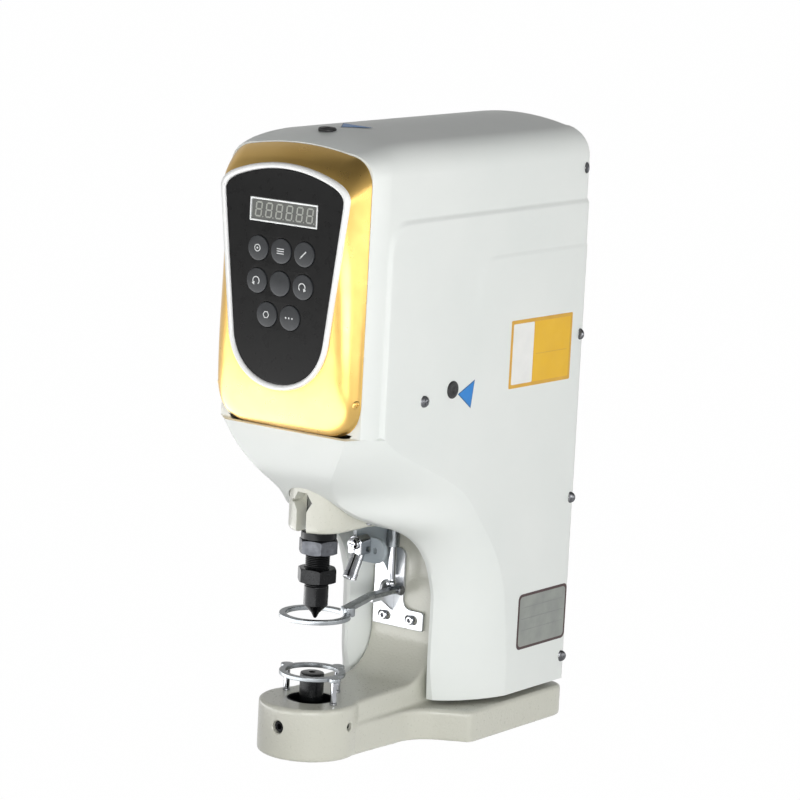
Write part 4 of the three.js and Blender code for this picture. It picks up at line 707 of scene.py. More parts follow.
def shellBlock(name, form, wall=0.0):
    # the shell's outer block, or with a wall the smaller block that hollows it
    heights, curves = sectionCurves(form, shellSections)
    start, rear = form["bottom"] - (8 if wall else 0), form["rear"] + (6 if wall else 0)
    low = [start, *np.arange(form["bottom"] + (3 if wall else 0), form["chin"] - 1, 3.0), form["chin"]]
    high = [form["ledge"], 287, 290]
    for begin, end, step in ((294, 410, 6.0), (411, 422, 1.5), (424, 450, 5.0), (452, 461, 1.0)):
        high += list(np.arange(begin, end, step))
    levels = low + high + [466, 472, 479, 486, form["shoulderZ"]]
    ledgeRow, last = len(low), len(levels) - 1
    frontSteps, curl = shellFrontSteps, form["rearCurl"]

    def halfRow(z, below):
        if below:
            front, half, shoulder = (float(np.interp(z, heights, curve)) for curve in curves)
        else:
            front, half, shoulder = form["front"], form["frontHalf"], form["frontShoulder"]
        front, half, shoulder = front + wall, half - wall, shoulder + wall
        row = [(half * i / frontSteps, front) for i in range(frontSteps + 1)]
        edge = form["half"] - form["fieldProud"] - wall if wall else flankHalf(form, shoulder, z)
        for i in range(1, shellFlareSteps + 1):
            s = i / shellFlareSteps
            out, back = s / 2 + math.sin(s * math.pi / 2) / 2, s / 2 + (1 - math.cos(s * math.pi / 2)) / 2
            row.append((half + out * (edge - half), front + back * (shoulder - front)))
        for share in shellFlankShares:
            y = shoulder + share * (rear - shoulder)
            x = edge if wall else flankHalf(form, y, z)
            turned = 0 if wall else max(0.0, y - (rear - curl)) / curl
            row.append((x - curl * (1 - math.sqrt(max(0.0, 1 - turned * turned))), y))
        return row

    verts, faces, rows = [], [], []
    for k, z in enumerate(levels):
        row = halfRow(z, k < ledgeRow)
        count = len(row)
        full = [(-x, y) for x, y in reversed(row[1:])] + row
        height = z + (wall if 0 < k <= ledgeRow else 0)
        rows.append(range(len(verts), len(verts) + len(full)))
        verts += [(x, y, height) for x, y in full]
    width = 2 * count - 1
    middle = count - 1
    for k in range(last):
        for i in range(width - 1):
            if k >= ledgeRow and middle - frontSteps <= i < middle + frontSteps:
                continue
            faces.append((rows[k][i], rows[k][i + 1], rows[k + 1][i + 1], rows[k + 1][i]))

    # arches over the top, one for each place along the flanks
    top, shoulder, base = form["topEdge"] - wall, form["shoulder"] - wall, form["shoulderZ"]
    arches = []
    for i in range(middle + frontSteps, width):
        right, left = rows[last][i], rows[last][width - 1 - i]
        x, y, _ = verts[right]
        brow = form["browDrop"] * max(0.0, (form["browY"] - y) / (form["browY"] - form["front"])) ** 2
        behind = min(max((y - form["rear"] + form["rearRadius"]) / form["rearRadius"], 0), 1)
        drop = brow + form["rearRadius"] * (1 - math.sqrt(1 - behind)) ** 2
        squash = 1 - drop / (top + form["crown"] - base)
        inner = x - shoulder
        arch, crown = form["archSteps"], form["crownSteps"]
        line = [(inner + shoulder * math.cos(a), base + (top - base) * math.sin(a))
                for a in (math.pi / 2 * k / arch for k in range(1, arch + 1))]
        line += [(inner * (1 - k / crown), top + form["crown"] * (1 - (1 - k / crown) ** 2))
                 for k in range(1, crown + 1)]
        line += [(-u, w) for u, w in reversed(line[:-1])]
        first = len(verts)
        verts += [(u, y, base + (w - base) * squash) for u, w in line]
        arches.append([right] + list(range(first, first + len(line))) + [left])
    for a, b in zip(arches, arches[1:]):
        faces += [(a[k], a[k + 1], b[k + 1], b[k]) for k in range(len(a) - 1)]

    # the front above the ledge, the open rear and the underside are one face each
    frontLeft, frontRight = middle - frontSteps, middle + frontSteps
    faces.append(tuple([*rows[ledgeRow][frontLeft:frontRight + 1]]
                       + [rows[k][frontRight] for k in range(ledgeRow + 1, last)] + arches[0]
                       + [rows[k][frontLeft] for k in range(last - 1, ledgeRow, -1)]))
    faces.append(tuple([rows[k][width - 1] for k in range(last)] + arches[-1]
                       + [rows[k][0] for k in range(last - 1, -1, -1)]))
    faces.append(tuple(rows[0]))
    return makeObject(name, verts, faces)


throatForm = dict(half=42.8, bendY=106, columnHalf=34.8, columnY=121, rear=200, returnRear=150, top=190, headGap=0.8)


def throatLoop(form, grow, rear):
    near, far = form["half"] + grow, form["columnHalf"] + grow
    right = [(near, -90), (near, form["bendY"] + grow / 2), (far, form["columnY"] + grow / 2), (far, rear)]
    return right + [(-x, y) for x, y in reversed(right)]


def makeShell(form):
    top, gap = throatForm["top"], throatForm["headGap"]
    outer, inner = shellBlock("pressShell", form), shellBlock("shellHollow", form, form["wall"])
    returns = slab("returns", [throatLoop(throatForm, form["wall"], throatForm["returnRear"])],
                   form["bottom"] - 12, top)
    hollow = combine(inner, [returns])
    throat = slab("throatCut", [throatLoop(throatForm, 0, throatForm["rear"])], 10, top)
    head = slab("headCut", [headLoop(gap, throatForm["rear"] + gap)], 8, castingForm["armTop"] + gap)
    return combine(outer, [hollow, throat, head])


shell = makeShell(shellForm)
finishPiece(shell, "frame", "shellPlastic", ["body_shell"], 32)
print("shell made:", len(shell.data.polygons), "faces")


# bezel, lip and keypad

bezelForm = dict(rearY=-47.3, frontY=-67.4, rearHalf=72, rearTop=510, rearBottom=280.3, rearCrown=5, corner=21,
                 footSweep=1.5, bead=0.9, straight=(0.15, 0.62), straightFrom=(330, 470), middleZ=400, points=220,
                 steps=16, lipPoints=240, mouth=3)
panelForm = dict(topHalf=60, waistHalf=45.6, top=495, waistZ=358, bottom=320, crown=9, corner=13,
                 foot=(0.92, 0.65, 0.5), faceY=-68.7, backY=-64.7, lipWidth=5.3, lipInner=0.3, lipFront=-70.7,
                 lipBack=-66.9, lipSide=0.8)


def bezierLine(points, steps):
    # three or four control points; the last point itself is left out
    a, b, c, *d = [Vector(p) for p in points]
    line = []
    for i in range(steps):
        t = i / steps
        if d:
            line.append(a * (1 - t) ** 3 + b * 3 * t * (1 - t) ** 2 + c * 3 * t * t * (1 - t) + d[0] * t ** 3)
        else:
            line.append(a * (1 - t) ** 2 + b * 2 * t * (1 - t) + c * t * t)
    return [tuple(p) for p in line]


def bezelLoop(half, bottom, top, crown, corner):
    right = bezierLine([(half, top - corner), (half - corner * 0.15, top - corner * 0.1), (half - corner, top)], 12)
    crownLine = bezierLine([(half - corner, top), (0, top + 2 * crown), (corner - half, top)], 40)
    left = bezierLine([(corner - half, top), (corner * 0.15 - half, top - corner * 0.1), (-half, top - corner)], 12)
    sweep = corner * bezelForm["footSweep"]
    foot = bezierLine([(-half, bottom + sweep), (-half, bottom), (sweep - half, bottom)], 14)
    foot += bezierLine([(half - sweep, bottom), (half, bottom), (half, bottom + sweep)], 14)
    return right + crownLine + left + foot


def keypadLoop(form, grow):
    top, waist = form["topHalf"] + grow, form["waistHalf"] + grow
    high, low = form["top"] - form["crown"] + grow, form["bottom"] - grow
    corner, z = form["corner"] + grow / 2, form["waistZ"]
    out, down, inward = form["foot"]
    pull = z - down * (z - low)
    line = [(waist, z)]
    fall = high - 2 * form["crown"] * corner / (top - corner)
    line += bezierLine([(top, high - corner), (top, fall), (top - corner, high)], 14)
    line += bezierLine([(top - corner, high), (0, high + 2 * form["crown"]), (corner - top, high)], 30)
    line += bezierLine([(corner - top, high), (-top, fall), (-top, high - corner)], 14)
    line += bezierLine([(-waist, z), (-out * waist, pull), (-inward * waist, low), (0, low)], 24)
    line += bezierLine([(0, low), (inward * waist, low), (out * waist, pull), (waist, z)], 24)
    return line


def aroundLoop(loop, middle, count):
    # the loop's points where rays from its middle cross it, one for each of count directions
    hits = []
    closed = [Vector(p) - Vector(middle) for p in loop]
    for i in range(count):
        turn = 2 * math.pi * i / count
        ray = Vector((math.cos(turn), math.sin(turn)))
        best = None
        for a, b in zip(closed, closed[1:] + closed[:1]):
            edge = b - a
            across = ray.x * edge.y - ray.y * edge.x
            if abs(across) < 1e-12:
                continue
            far = (a.x * edge.y - a.y * edge.x) / across
            along = (a.x * ray.y - a.y * ray.x) / across
            if far > 0 and -1e-9 <= along <= 1 + 1e-9 and (best is None or far > best):
                best = far
        hits.append((middle[0] + ray.x * best, middle[1] + ray.y * best))
    return hits


def ringFaces(count, rows):
    # quads between rows of count points, and from the last row back to the first
    return [(k * count + i, k * count + (i + 1) % count, (k + 1) % rows * count + (i + 1) % count,
             (k + 1) % rows * count + i) for k in range(rows) for i in range(count)]


def mixLoops(a, b, share):
    return [(u0 + (u1 - u0) * share, w0 + (w1 - w0) * share) for (u0, w0), (u1, w1) in zip(a, b)]


def makeBezel(form, panel):
    # one smooth slope from its seat on the shell to the lip, straighter at the top and rounder at the foot
    middle, count = (0, form["middleZ"]), form["points"]
    rear = aroundLoop(bezelLoop(form["rearHalf"], form["rearBottom"], form["rearTop"], form["rearCrown"],
                                form["corner"]), middle, count)
    edge = aroundLoop(keypadLoop(panel, panel["lipWidth"] - 1), middle, count)
    mouth = aroundLoop(keypadLoop(panel, form["mouth"]), middle, count)
    y0, bead = form["rearY"], form["bead"]
    depth = y0 - bead - form["frontY"]
    low, high = form["straight"]
    shares = [low + (high - low) * ramp(z, *form["straightFrom"]) for _, z in rear]
    verts = [(u, y0, w) for u, w in mixLoops(rear, mouth, 0.1)]
    verts += [(u, y0, w) for u, w in mixLoops(rear, mouth, 0.004)]
    verts += [(u, y0 - bead * 0.5, w) for u, w in rear]
    for k in range(form["steps"] + 1):
        t = k / form["steps"]
        a = math.pi / 2 * t
        for (u0, w0), (u1, w1), straight in zip(rear, edge, shares):
            s = straight * t + (1 - straight) * (1 - math.cos(a))
            f = straight * t + (1 - straight) * math.sin(a)
            s = 0.012 + 0.988 * s ** (1.3 - straight / 2)
            verts.append((u0 + (u1 - u0) * s, y0 - bead - depth * f, w0 + (w1 - w0) * s))
    verts += [(u, form["frontY"] + 0.4, w) for u, w in mouth]
    verts += [(u, panel["backY"] + 2, w) for u, w in mouth]
    verts += [(u, y0 - 4, w) for u, w in mixLoops(rear, mouth, 0.35)]
    return makeObject("goldBezel", verts, ringFaces(count, len(verts) // count))


def makeLip(panel):
    middle, count = (0, bezelForm["middleZ"]), bezelForm["lipPoints"]
    outer, inner = (aroundLoop(keypadLoop(panel, grow), middle, count)
                    for grow in (panel["lipWidth"], panel["lipInner"]))
    front, back, side = panel["lipFront"], panel["lipBack"], panel["lipSide"]
    rows = [(inner, back), (outer, back)]
    for k in range(13):
        a = math.pi * k / 12
        rows.append((mixLoops(outer, inner, 0.5 - 0.5 * math.cos(a)),
                     back + side + (front - back - side) * math.sin(a) ** 0.6))
    verts = [(u, y, w) for loop, y in rows for u, w in loop]
    return makeObject("keypadLip", verts, ringFaces(count, len(rows)))


bezel = makeBezel(bezelForm, panelForm)
finishPiece(bezel, "frame", "goldPaint", ["front_bezel"], 40)
lip = makeLip(panelForm)
finishPiece(lip, "frame", "lipPlastic", ["bezel_lip"], 60)

keypad = dict(radius=10.3, clearance=0.35, pitch=23.5, rowPitch=26.6, topZ=428.8, rows=(3, 3, 2), proud=1.6,
              dome=0.9, skirt=1.1, flange=1.4, stem=(3, 4.4), printOut=0.07, printIn=0.45,
              displayZ=460.2, displayHalf=(34.5, 9.7), displayGap=0.3, sink=0.6)
keyPlaces = [((i - (count - 1) / 2) * keypad["pitch"], keypad["topZ"] - row * keypad["rowPitch"])
             for row, count in enumerate(keypad["rows"]) for i in range(count)]


def makeKeypadPanel(form, keys):
    w, h = (side + keys["displayGap"] for side in keys["displayHalf"])
    z = keys["displayZ"]
    holes = [boxLoop(-w, w, z - h, z + h, 0.8, 3)]
    holes += [circleLoop(keys["radius"] + keys["clearance"], x, z, 48) for x, z in keyPlaces]
    panel = slab("keypadSheet", [keypadLoop(form, 0)] + holes, form["faceY"], form["backY"], 0.35, "front", 2)
    return finishPiece(panel, "frame", "panelFoil", ["keypad_panel"], 40)


makeKeypadPanel(panelForm, keypad)


def strokeLoop(points, width):
    # outline of an open line of that width with square ends
    line = [Vector(p) for p in points]
    sides = []
    for i, p in enumerate(line):
        along = line[min(i + 1, len(line) - 1)] - line[max(i - 1, 0)]
        across = Vector((-along.y, along.x)).normalized() * width / 2
        sides.append((p + across, p - across))
    return [tuple(a) for a, _ in sides] + [tuple(b) for _, b in reversed(sides)]


def arrowArc(start, end, radius=3.2, width=0.8, headHalf=1.7, headLength=2.5):
    # an arc with an arrow head at its end
    tip, ahead = math.radians(end), 1 if end > start else -1
    out = Vector((math.cos(tip), math.sin(tip)))
    along = Vector((-math.sin(tip), math.cos(tip))) * ahead
    here = Vector((radius * math.cos(tip), radius * math.sin(tip)))
    head = [tuple(here + out * headHalf), tuple(here + along * headLength), tuple(here - out * headHalf)]
    return [[strokeLoop(circleLoop(radius, 0, 0, 24, min(start, end), max(start, end)), width)], [head]]


# plain signs, each a list of parts; key 5 has none
keySigns = {
    1: [[circleLoop(3.1, 0, 0.2, 32), circleLoop(2.35, 0, 0.2, 32)], [circleLoop(0.9, 0, 0.2, 20)]],
    2: [[boxLoop(-3.6, 3.6, z - 0.38, z + 0.38)] for z in (-1.9, 0, 1.9)],
    3: [[strokeLoop([(-2.6, -2.6), (2.6, 2.6)], 1.0)], [strokeLoop([(-3.5, -3.5), (-2.9, -2.9)], 0.6)]],
    4: arrowArc(-50, 205),
    6: arrowArc(230, -25),
    7: [[circleLoop(3.2, 0, 0, 6), circleLoop(2.4, 0, 0, 6)]],
    8: [[circleLoop(0.75, x, 0, 16)] for x in (-3.2, 0, 3.2)],
}


def makeKeys(form, keys):
    face, back = form["faceY"] - keys["proud"], keys["proud"] + 4 + 0.3
    r, dome, skirt, flange = keys["radius"], keys["dome"], keys["radius"] + keys["skirt"], back + keys["flange"]
    stem, stemLength = keys["stem"]
    profile = [(0, 0)] + [(r * 0.94 * k / 8, dome * (k / 8) ** 2 * 0.7) for k in range(1, 9)]
    profile += [(r * 0.985, dome * 0.95), (r, dome * 1.5), (r, back), (skirt, back), (skirt, flange),
                (stem, flange), (stem, back + stemLength), (0, back + stemLength)]
    for i, (x, z) in enumerate(keyPlaces, 1):
        cap = place(lathe(f"keyCap{i}", profile, 64), ("X", -90), (x, face, z))
        finishPiece(cap, f"key_{i}_cap", "keyCap", [f"key_{i}"], 40)
        for part, loops in enumerate(keySigns.get(i, [])):
            sign = slab(f"keySign{i}_{part}", [[(x + u, z + w) for u, w in loop] for loop in loops],
                        face - keys["printOut"], face + keys["printIn"], 0, "front")
            finishPiece(sign, f"key_{i}_cap", "iconPrint")


makeKeys(panelForm, keypad)

displayForm = dict(frame=1.5, digits=6, digitSize=(5.6, 11.4), pitch=10.4, lean=0.1, stroke=1.25,
                   point=(0.55, 4.3, -5.9), barDepth=(0.66, 1.0), blockBack=-58.9)


def segmentLoops(width, height, stroke):
    # the seven bars of a digit, each with pointed ends
    w, h, t = width / 2, height / 2, stroke / 2

    def bar(x0, y0, x1, y1):
        along = Vector((x1 - x0, y1 - y0)).normalized()
        across = Vector((-along.y, along.x)) * t
        a, b = Vector((x0, y0)) + along * t * 1.3, Vector((x1, y1)) - along * t * 1.3
        return [tuple(p) for p in (a - along * t, a + across, b + across, b + along * t, b - across, a - across)]
    return [bar(-w, h, w, h), bar(-w, 0, w, 0), bar(-w, -h, w, -h), bar(-w, 0, -w, h), bar(w, 0, w, h),
            bar(-w, -h, -w, 0), bar(w, -h, w, 0)]


def makeDisplay(form, keys, digits):
    w, h = keys["displayHalf"]
    z, face = keys["displayZ"], form["faceY"] + keys["sink"]
    rim = digits["frame"]
    body = slab("displayBlock", [boxLoop(-w, w, z - h, z + h, 0.6, 3)], face + 0.8, digits["blockBack"], 0.2,
                "front")
    border = slab("displayRim", [boxLoop(-w, w, z - h, z + h, 0.8, 3),
                                 boxLoop(rim - w, w - rim, z - h + rim, z + h - rim, 0.5, 3)],
                  face - 0.35, face + 1.4, 0.3, "front", 2)
    finishPiece(body, "frame", "displayWindow", ["display_module"])
    finishPiece(border, "frame", "displayFrame")
    bars, (radius, pointX, pointZ) = [], digits["point"]
    low, high = (face + depth for depth in digits["barDepth"])
    for i in range(digits["digits"]):
        middle = (i - (digits["digits"] - 1) / 2) * digits["pitch"]
        loops = [[(middle + u + w * digits["lean"], z + w) for u, w in loop]
                 for loop in segmentLoops(*digits["digitSize"], digits["stroke"])]
        loops.append(circleLoop(radius, middle + pointX, z + pointZ, 10))
        bars += [slab("bar", [loop], low, high, 0, "front") for loop in loops]
    finishPiece(joinUp("displayBars", bars), "frame", "displaySegment")


makeDisplay(panelForm, keypad, displayForm)
print("bezel and keypad made")


# ram and tools

def hexNut(name, across, low, high, bore, turn=15, chamfer=2.0, mouth=0.9):
    corner = across / math.sqrt(3)
    steps = [(corner - chamfer * (1 - k / 6) ** 1.7 * 1.25, low + chamfer * 0.62 * k / 6) for k in range(7)]
    barrel = lathe("barrel", [(0, low)] + steps + [(r, low + high - z) for r, z in reversed(steps)] + [(0, high)],
                   96)
    prism = slab(name, [circleLoop(corner, 0, 0, 6, turn, turn + 360)], low, high)
    combine(prism, [barrel], "INTERSECT")
    wide = bore + mouth
    hole = lathe("hole", [(0, low - 1), (wide, low - 1), (wide, low), (bore, low + mouth), (bore, high - mouth),
                          (wide, high), (wide, high + 1), (0, high + 1)], 64)
    return combine(prism, [hole])


toolForm = dict(shank=10.3, pitch=1.5, threadDepth=0.55, tip=113.5, cone=11.5, nutAcross=30, nutGap=0.15,
                lowerNut=(145, 157), upperNut=(169.5, 181.5), collar=(15, 181.8, 188.8), collarGap=0.2,
                ram=(12.5, 189.1, 342), ramEdge=0.8, ramBore=(8, 287), gap=0.3, shankTop=213.1)


def threadProfile(radius, low, high, pitch, depth):
    count = int((high - low) / pitch)
    line = []
    for k in range(count):
        z = low + k * pitch
        line += [(radius - depth, z), (radius, z + pitch * 0.4), (radius, z + pitch * 0.6)]
    return line + [(radius - depth, low + count * pitch)]


def makeTools(form):
    r, tip, cone, gap = form["shank"], form["tip"], form["cone"], form["gap"]
    top, threadLow = form["shankTop"], form["lowerNut"][0]
    point = [(0, tip), (0.8, tip + 0.15), (1.5, tip + 0.9), (0.3 * r + 0.4, tip + 0.42 * cone),
             (r - 0.6, tip + cone - 0.5), (r, tip + cone + 0.3), (r, threadLow - 4)]
    thread = threadProfile(r, threadLow - 3, form["collar"][1] + 1, form["pitch"], form["threadDepth"])
    die = lathe("upperDie", point + thread + [(r - 0.3, top - 1), (r - 1, top), (0, top)], 72)
    finishPiece(die, "ram", "blackOxide", ["upper_die"], 30)
    for level, finish in (("lower", "blackOxide"), ("upper", "wornNut")):
        nut = hexNut(f"{level}LockNut", form["nutAcross"], *form[f"{level}Nut"], r + form["nutGap"])
        finishPiece(nut, "ram", finish, [f"{level}_lock_nut"], 30)
    radius, bottom, top = form["collar"]
    collar = tube("dieCollar", radius, r + form["collarGap"], bottom, top, 72, 1.0)
    finishPiece(collar, "ram", "blackOxide", ["die_collar"])
    radius, bottom, top = form["ram"]
    edge, seat, (bore, floor) = form["ramEdge"], form["shankTop"] + gap, form["ramBore"]
    ram = lathe("pressRam", [(0, seat), (r + gap, seat), (r + gap, bottom + 0.5), (r + 0.8, bottom),
                             (radius - edge, bottom), (radius, bottom + edge), (radius, top - edge),
                             (radius - edge, top), (bore, top), (bore, floor), (0, floor)], 72)
    finishPiece(ram, "ram", "chromePlate", ["ram"])


makeTools(toolForm)

lowerForm = dict(die=10.2, top=67, foot=9.3, ringOuter=28, ringInner=22.5, ringLow=65, ringTop=68.5, tab=5.5,
                 postCircle=29.5, post=2.65, postLow=45.3, postGap=0.3,
                 posts={"left": 173, "right": 346, "rear": 80})


def makeLowerTool(form):
    r, top = form["die"], form["top"]
    die = lathe("lowerDie", [(0, form["foot"]), (r - 0.8, form["foot"]), (r, form["foot"] + 0.8), (r, 40),
                             (r - 0.5, 40.6), (r - 0.5, 43), (r, 43.6), (r, top - 1.4), (r - 0.4, top - 0.4),
                             (r - 1.4, top), (3.2, top), (2.2, top - 0.6), (0.9, top - 1.9), (0, top - 2.2)], 72)
    finishPiece(die, "frame", "blackOxide", ["lower_die"], 30)
    ring = tube("fenceRing", form["ringOuter"], form["ringInner"], form["ringLow"], form["ringTop"], 96, 0.7)
    places = {name: (form["postCircle"] * math.cos(math.radians(a)), form["postCircle"] * math.sin(math.radians(a)))
              for name, a in form["posts"].items()}
    tabs = [place(rod("tab", form["tab"], form["ringLow"], form["ringTop"], 40, 0.7), to=(x, y, 0))
            for x, y in places.values()]
    combine(ring, tabs, "UNION")
    bore = rod("bore", form["ringInner"], form["ringLow"] - 2, form["ringTop"] + 2, 96)
    combine(ring, [bore])
    finishPiece(ring, "frame", "zincSteel", ["lower_guard_ring"], 30)
    p, low, high = form["post"], form["postLow"], form["ringLow"] - form["postGap"]
    for name, (x, y) in places.items():
        post = lathe(f"guardPost_{name}", [(0, low), (p + 0.5, low), (p + 0.5, low + 1.6), (p, low + 2.2),
                                           (p, high - 0.4), (p - 0.4, high), (0, high)], 32)
        finishPiece(place(post, to=(x, y, 0)), "frame", "chromePlate", [f"guard_post_{name}"], 30)
    # painted shade: a dark skin inside the recess, which shows no light
    shadeSkin = lathe("recessPaintedShade", [(11, 34.3), (20.2, 34.3), (20.2, 44.7), (19.3, 44.7), (19.0, 36.2), (11, 36.2),
                                  (11, 34.3)], 72)
    finishPiece(shadeSkin, "frame", "blackOxide", (), 30)


makeLowerTool(lowerForm)


def grubScrew(name, radius, length):
    # lies along +Y from its face, with a hexagon socket
    body = lathe(name, [(0, 0), (radius - 0.8, 0), (radius, 0.8)] + threadProfile(radius, 1, length, 1.2, 0.35)
                 + [(0, length)], 40)
    combine(body, [slab("socket", [circleLoop(0.5 * radius, 0, 0, 6)], -1, 3)])
    return place(body, ("X", -90))


grubForm = dict(height=27.5, front=(5.2, 31.5, None, (0, -42)), side=(3.1, 28.5, ("Z", 90), (39, 0)))
for where in ("front", "side"):
    radius, length, turn, at = grubForm[where]
    grub = place(grubScrew(f"{where}Grub", radius, length), turn, (*at, grubForm["height"]))
    finishPiece(grub, "frame", "blackOxide", [f"{where}_set_screw"], 30)
print("tools made")


# finger guard, its bracket and the lift rod

guardForm = dict(ring=(30.2, 24.5, 114.2, 118), width=9, root=(16, 24, 6.3), bendY=78, bendRadius=14,
                 pivot=(114.5, 120), armTop=122, boss=4, pinBore=2.8)


def makeGuard(form):
    outer, inner, low, high = form["ring"]
    ring = tube("guardRing", outer, inner, low, high, 112, 0.9)
    x, y, r = form["root"]
    boss = place(rod("boss", r, low, form["armTop"], 48, 0.8), to=(x, y, 0))
    half, pivotY, pivotZ = form["width"] / 2, *form["pivot"]
    bendY, bend = form["bendY"], form["bendRadius"]
    armLoop = roundLoop([(x - half, y - half), (x + half, y - half, 2), (half, bendY, bend), (half, pivotY, 1),
                         (-half, pivotY, 1), (-half, bendY, bend)], 8)
    armBar = slab("armBar", [armLoop], high, form["armTop"], 0.7, edgeSteps=3)
    hinge = place(rod("hinge", form["boss"], -half, half, 48, 0.6), ("Y", 90), (0, pivotY, pivotZ))
    combine(ring, [boss, armBar, hinge], "UNION")
    combine(ring, [rod("bore", inner, low - 2, form["armTop"] + 2, 112),
                   place(rod("pinBore", form["pinBore"], -half - 2, half + 2, 32), ("Y", 90), (0, pivotY, pivotZ))])
    return finishPiece(ring, "guard", "zincSteel", ["guard_arm"], 30)


makeGuard(guardForm)

bracketForm = dict(rear=125.7, thick=3, left=-29.5, right=24, low=85, high=102, uprightRight=2, top=155, fillet=8,
                   topRadius=7, slotInset=12.5, slot=(13, 3.4), ear=(-11, -8), earFront=92, earLow=110, earNose=7,
                   earHalf=7.5, pinSpan=6, socket=2.25)


def makeBracket(form):
    rear, front = form["rear"], form["rear"] - form["thick"]
    left, right, low, high = form["left"], form["right"], form["low"], form["high"]
    upright, corner = form["uprightRight"], form["topRadius"]
    face = roundLoop([(left, low, 2), (right, low, 2), (right, high, 3), (upright, high, form["fillet"]),
                      (upright, form["top"], corner), (left, form["top"], corner)], 8)
    length, radius = form["slot"]
    middle = (low + high) / 2
    screwPlaces = (left + form["slotInset"], right - form["slotInset"])
    slots = [boxLoop(x - length / 2, x + length / 2, middle - radius, middle + radius, radius - 0.01, 8)
             for x in screwPlaces]
    plate = slab("guardBracket", [face] + slots, front, rear, 0.6, "front", 3)
    pivotY, pivotZ = guardForm["pivot"]
    crown, nose, foreY = pivotZ + form["earHalf"], form["earLow"] + form["earNose"], pivotY - form["earHalf"]
    ear = roundLoop([(front + 1.5, high - 4), (front + 1.5, crown), (foreY, crown, 7), (103, nose, 3),
                     (form["earFront"], nose, 1.4), (form["earFront"], form["earLow"], 1.4),
                     (foreY, form["earLow"], 6)], 6)
    combine(plate, [slab("tab", [ear], *form["ear"], 0.5, "side", 2)], "UNION")
    span = form["pinSpan"]
    combine(plate, [place(rod("pinBore", guardForm["pinBore"], -span, span, 32), ("Y", 90), (-9.5, pivotY, pivotZ))])
    finishPiece(plate, "frame", "nickelSheet", ["guard_bracket"], 30)
    for i, x in enumerate(screwPlaces, 1):
        head = lathe("capScrew", [(0, 3.2), (3.0, 3.2), (3.8, 2.7), (4.1, 2.0), (4.1, 0.3), (2.6, 0.3), (2.6, -12),
                                  (0, -12)], 48)
        socket = slab("socket", [circleLoop(form["socket"], 0, 0, 6)], 1.0, 5)
        screw = place(combine(head, [socket]), ("X", 90), (x, front, middle))
        finishPiece(screw, "frame", "chromePlate", [f"bracket_screw_{i}"], 30)
    pin = lathe("pivotPin", [(0, -13.5), (3.6, -13.5), (4.2, -12.9), (4.2, -11.3), (2.5, -11.3), (2.5, 4.8),
                             (4.2, 4.8), (4.2, 6.4), (3.6, 7.0), (0, 7.0)], 40)
    finishPiece(place(pin, ("Y", 90), (0, pivotY, pivotZ)), "frame", "screwSteel", ["pivot_pin"], 30)


makeBracket(bracketForm)

liftForm = dict(y=107, rod=3.4, rodEdge=0.8, ball=4.5, ballZ=126.8, top=334, bush=5.6, bushGap=0.4, bushLow=159.3,
                bushTop=203)


def makeLift(form):
    r, ball, z, edge = form["rod"], form["ball"], form["ballZ"], form["rodEdge"]
    start = math.degrees(math.asin(r / ball))
    profile = [(0, z - ball)] + [(ball * math.sin(math.radians(a)), z - ball * math.cos(math.radians(a)))
                                 for a in np.linspace(8, 180 - start, 20)]
    profile += [(r, z + ball + 0.5), (r, form["top"] - edge), (r - edge, form["top"]), (0, form["top"])]
    rodPiece = place(lathe("liftRod", profile, 48), to=(0, form["y"], 0))
    finishPiece(rodPiece, "lifter", "chromePlate", ["lift_rod"], 40)
    bush = tube("liftBush", form["bush"], r + form["bushGap"], form["bushLow"], form["bushTop"], 48, 0.7)
    finishPiece(place(bush, to=(0, form["y"], 0)), "frame", "zincSteel", ["lift_rod_bush"])


makeLift(liftForm)
print("guard made")


# lamp

lampForm = dict(web=(-10.2, -6.2), bar=(62, 66), right=13, z=164, halfHeight=11, hole=2.6, hook=(117, 130),
                pivot=(3, 171), pivotBore=2.7, top=189.7, columnFront=126, throat=32, gap=0.3, plateFront=122.7,
                plateTop=155.3, block=(6.8, 46.7, 61.7), slit=0.6, tilt=29, radius=5.7, length=26, cap=(6.2, 5),
                capRings=3, capPitch=1.4, recess=(0.6, 3.2))


def crossCut(wide, tall, low, high):
    # cutter for a cross recess
    bars = [slab("cross", [boxLoop(-u, u, -v, v)], low, high) for u, v in ((wide, tall), (tall, wide))]
    return combine(bars[0], bars[1:], "UNION")


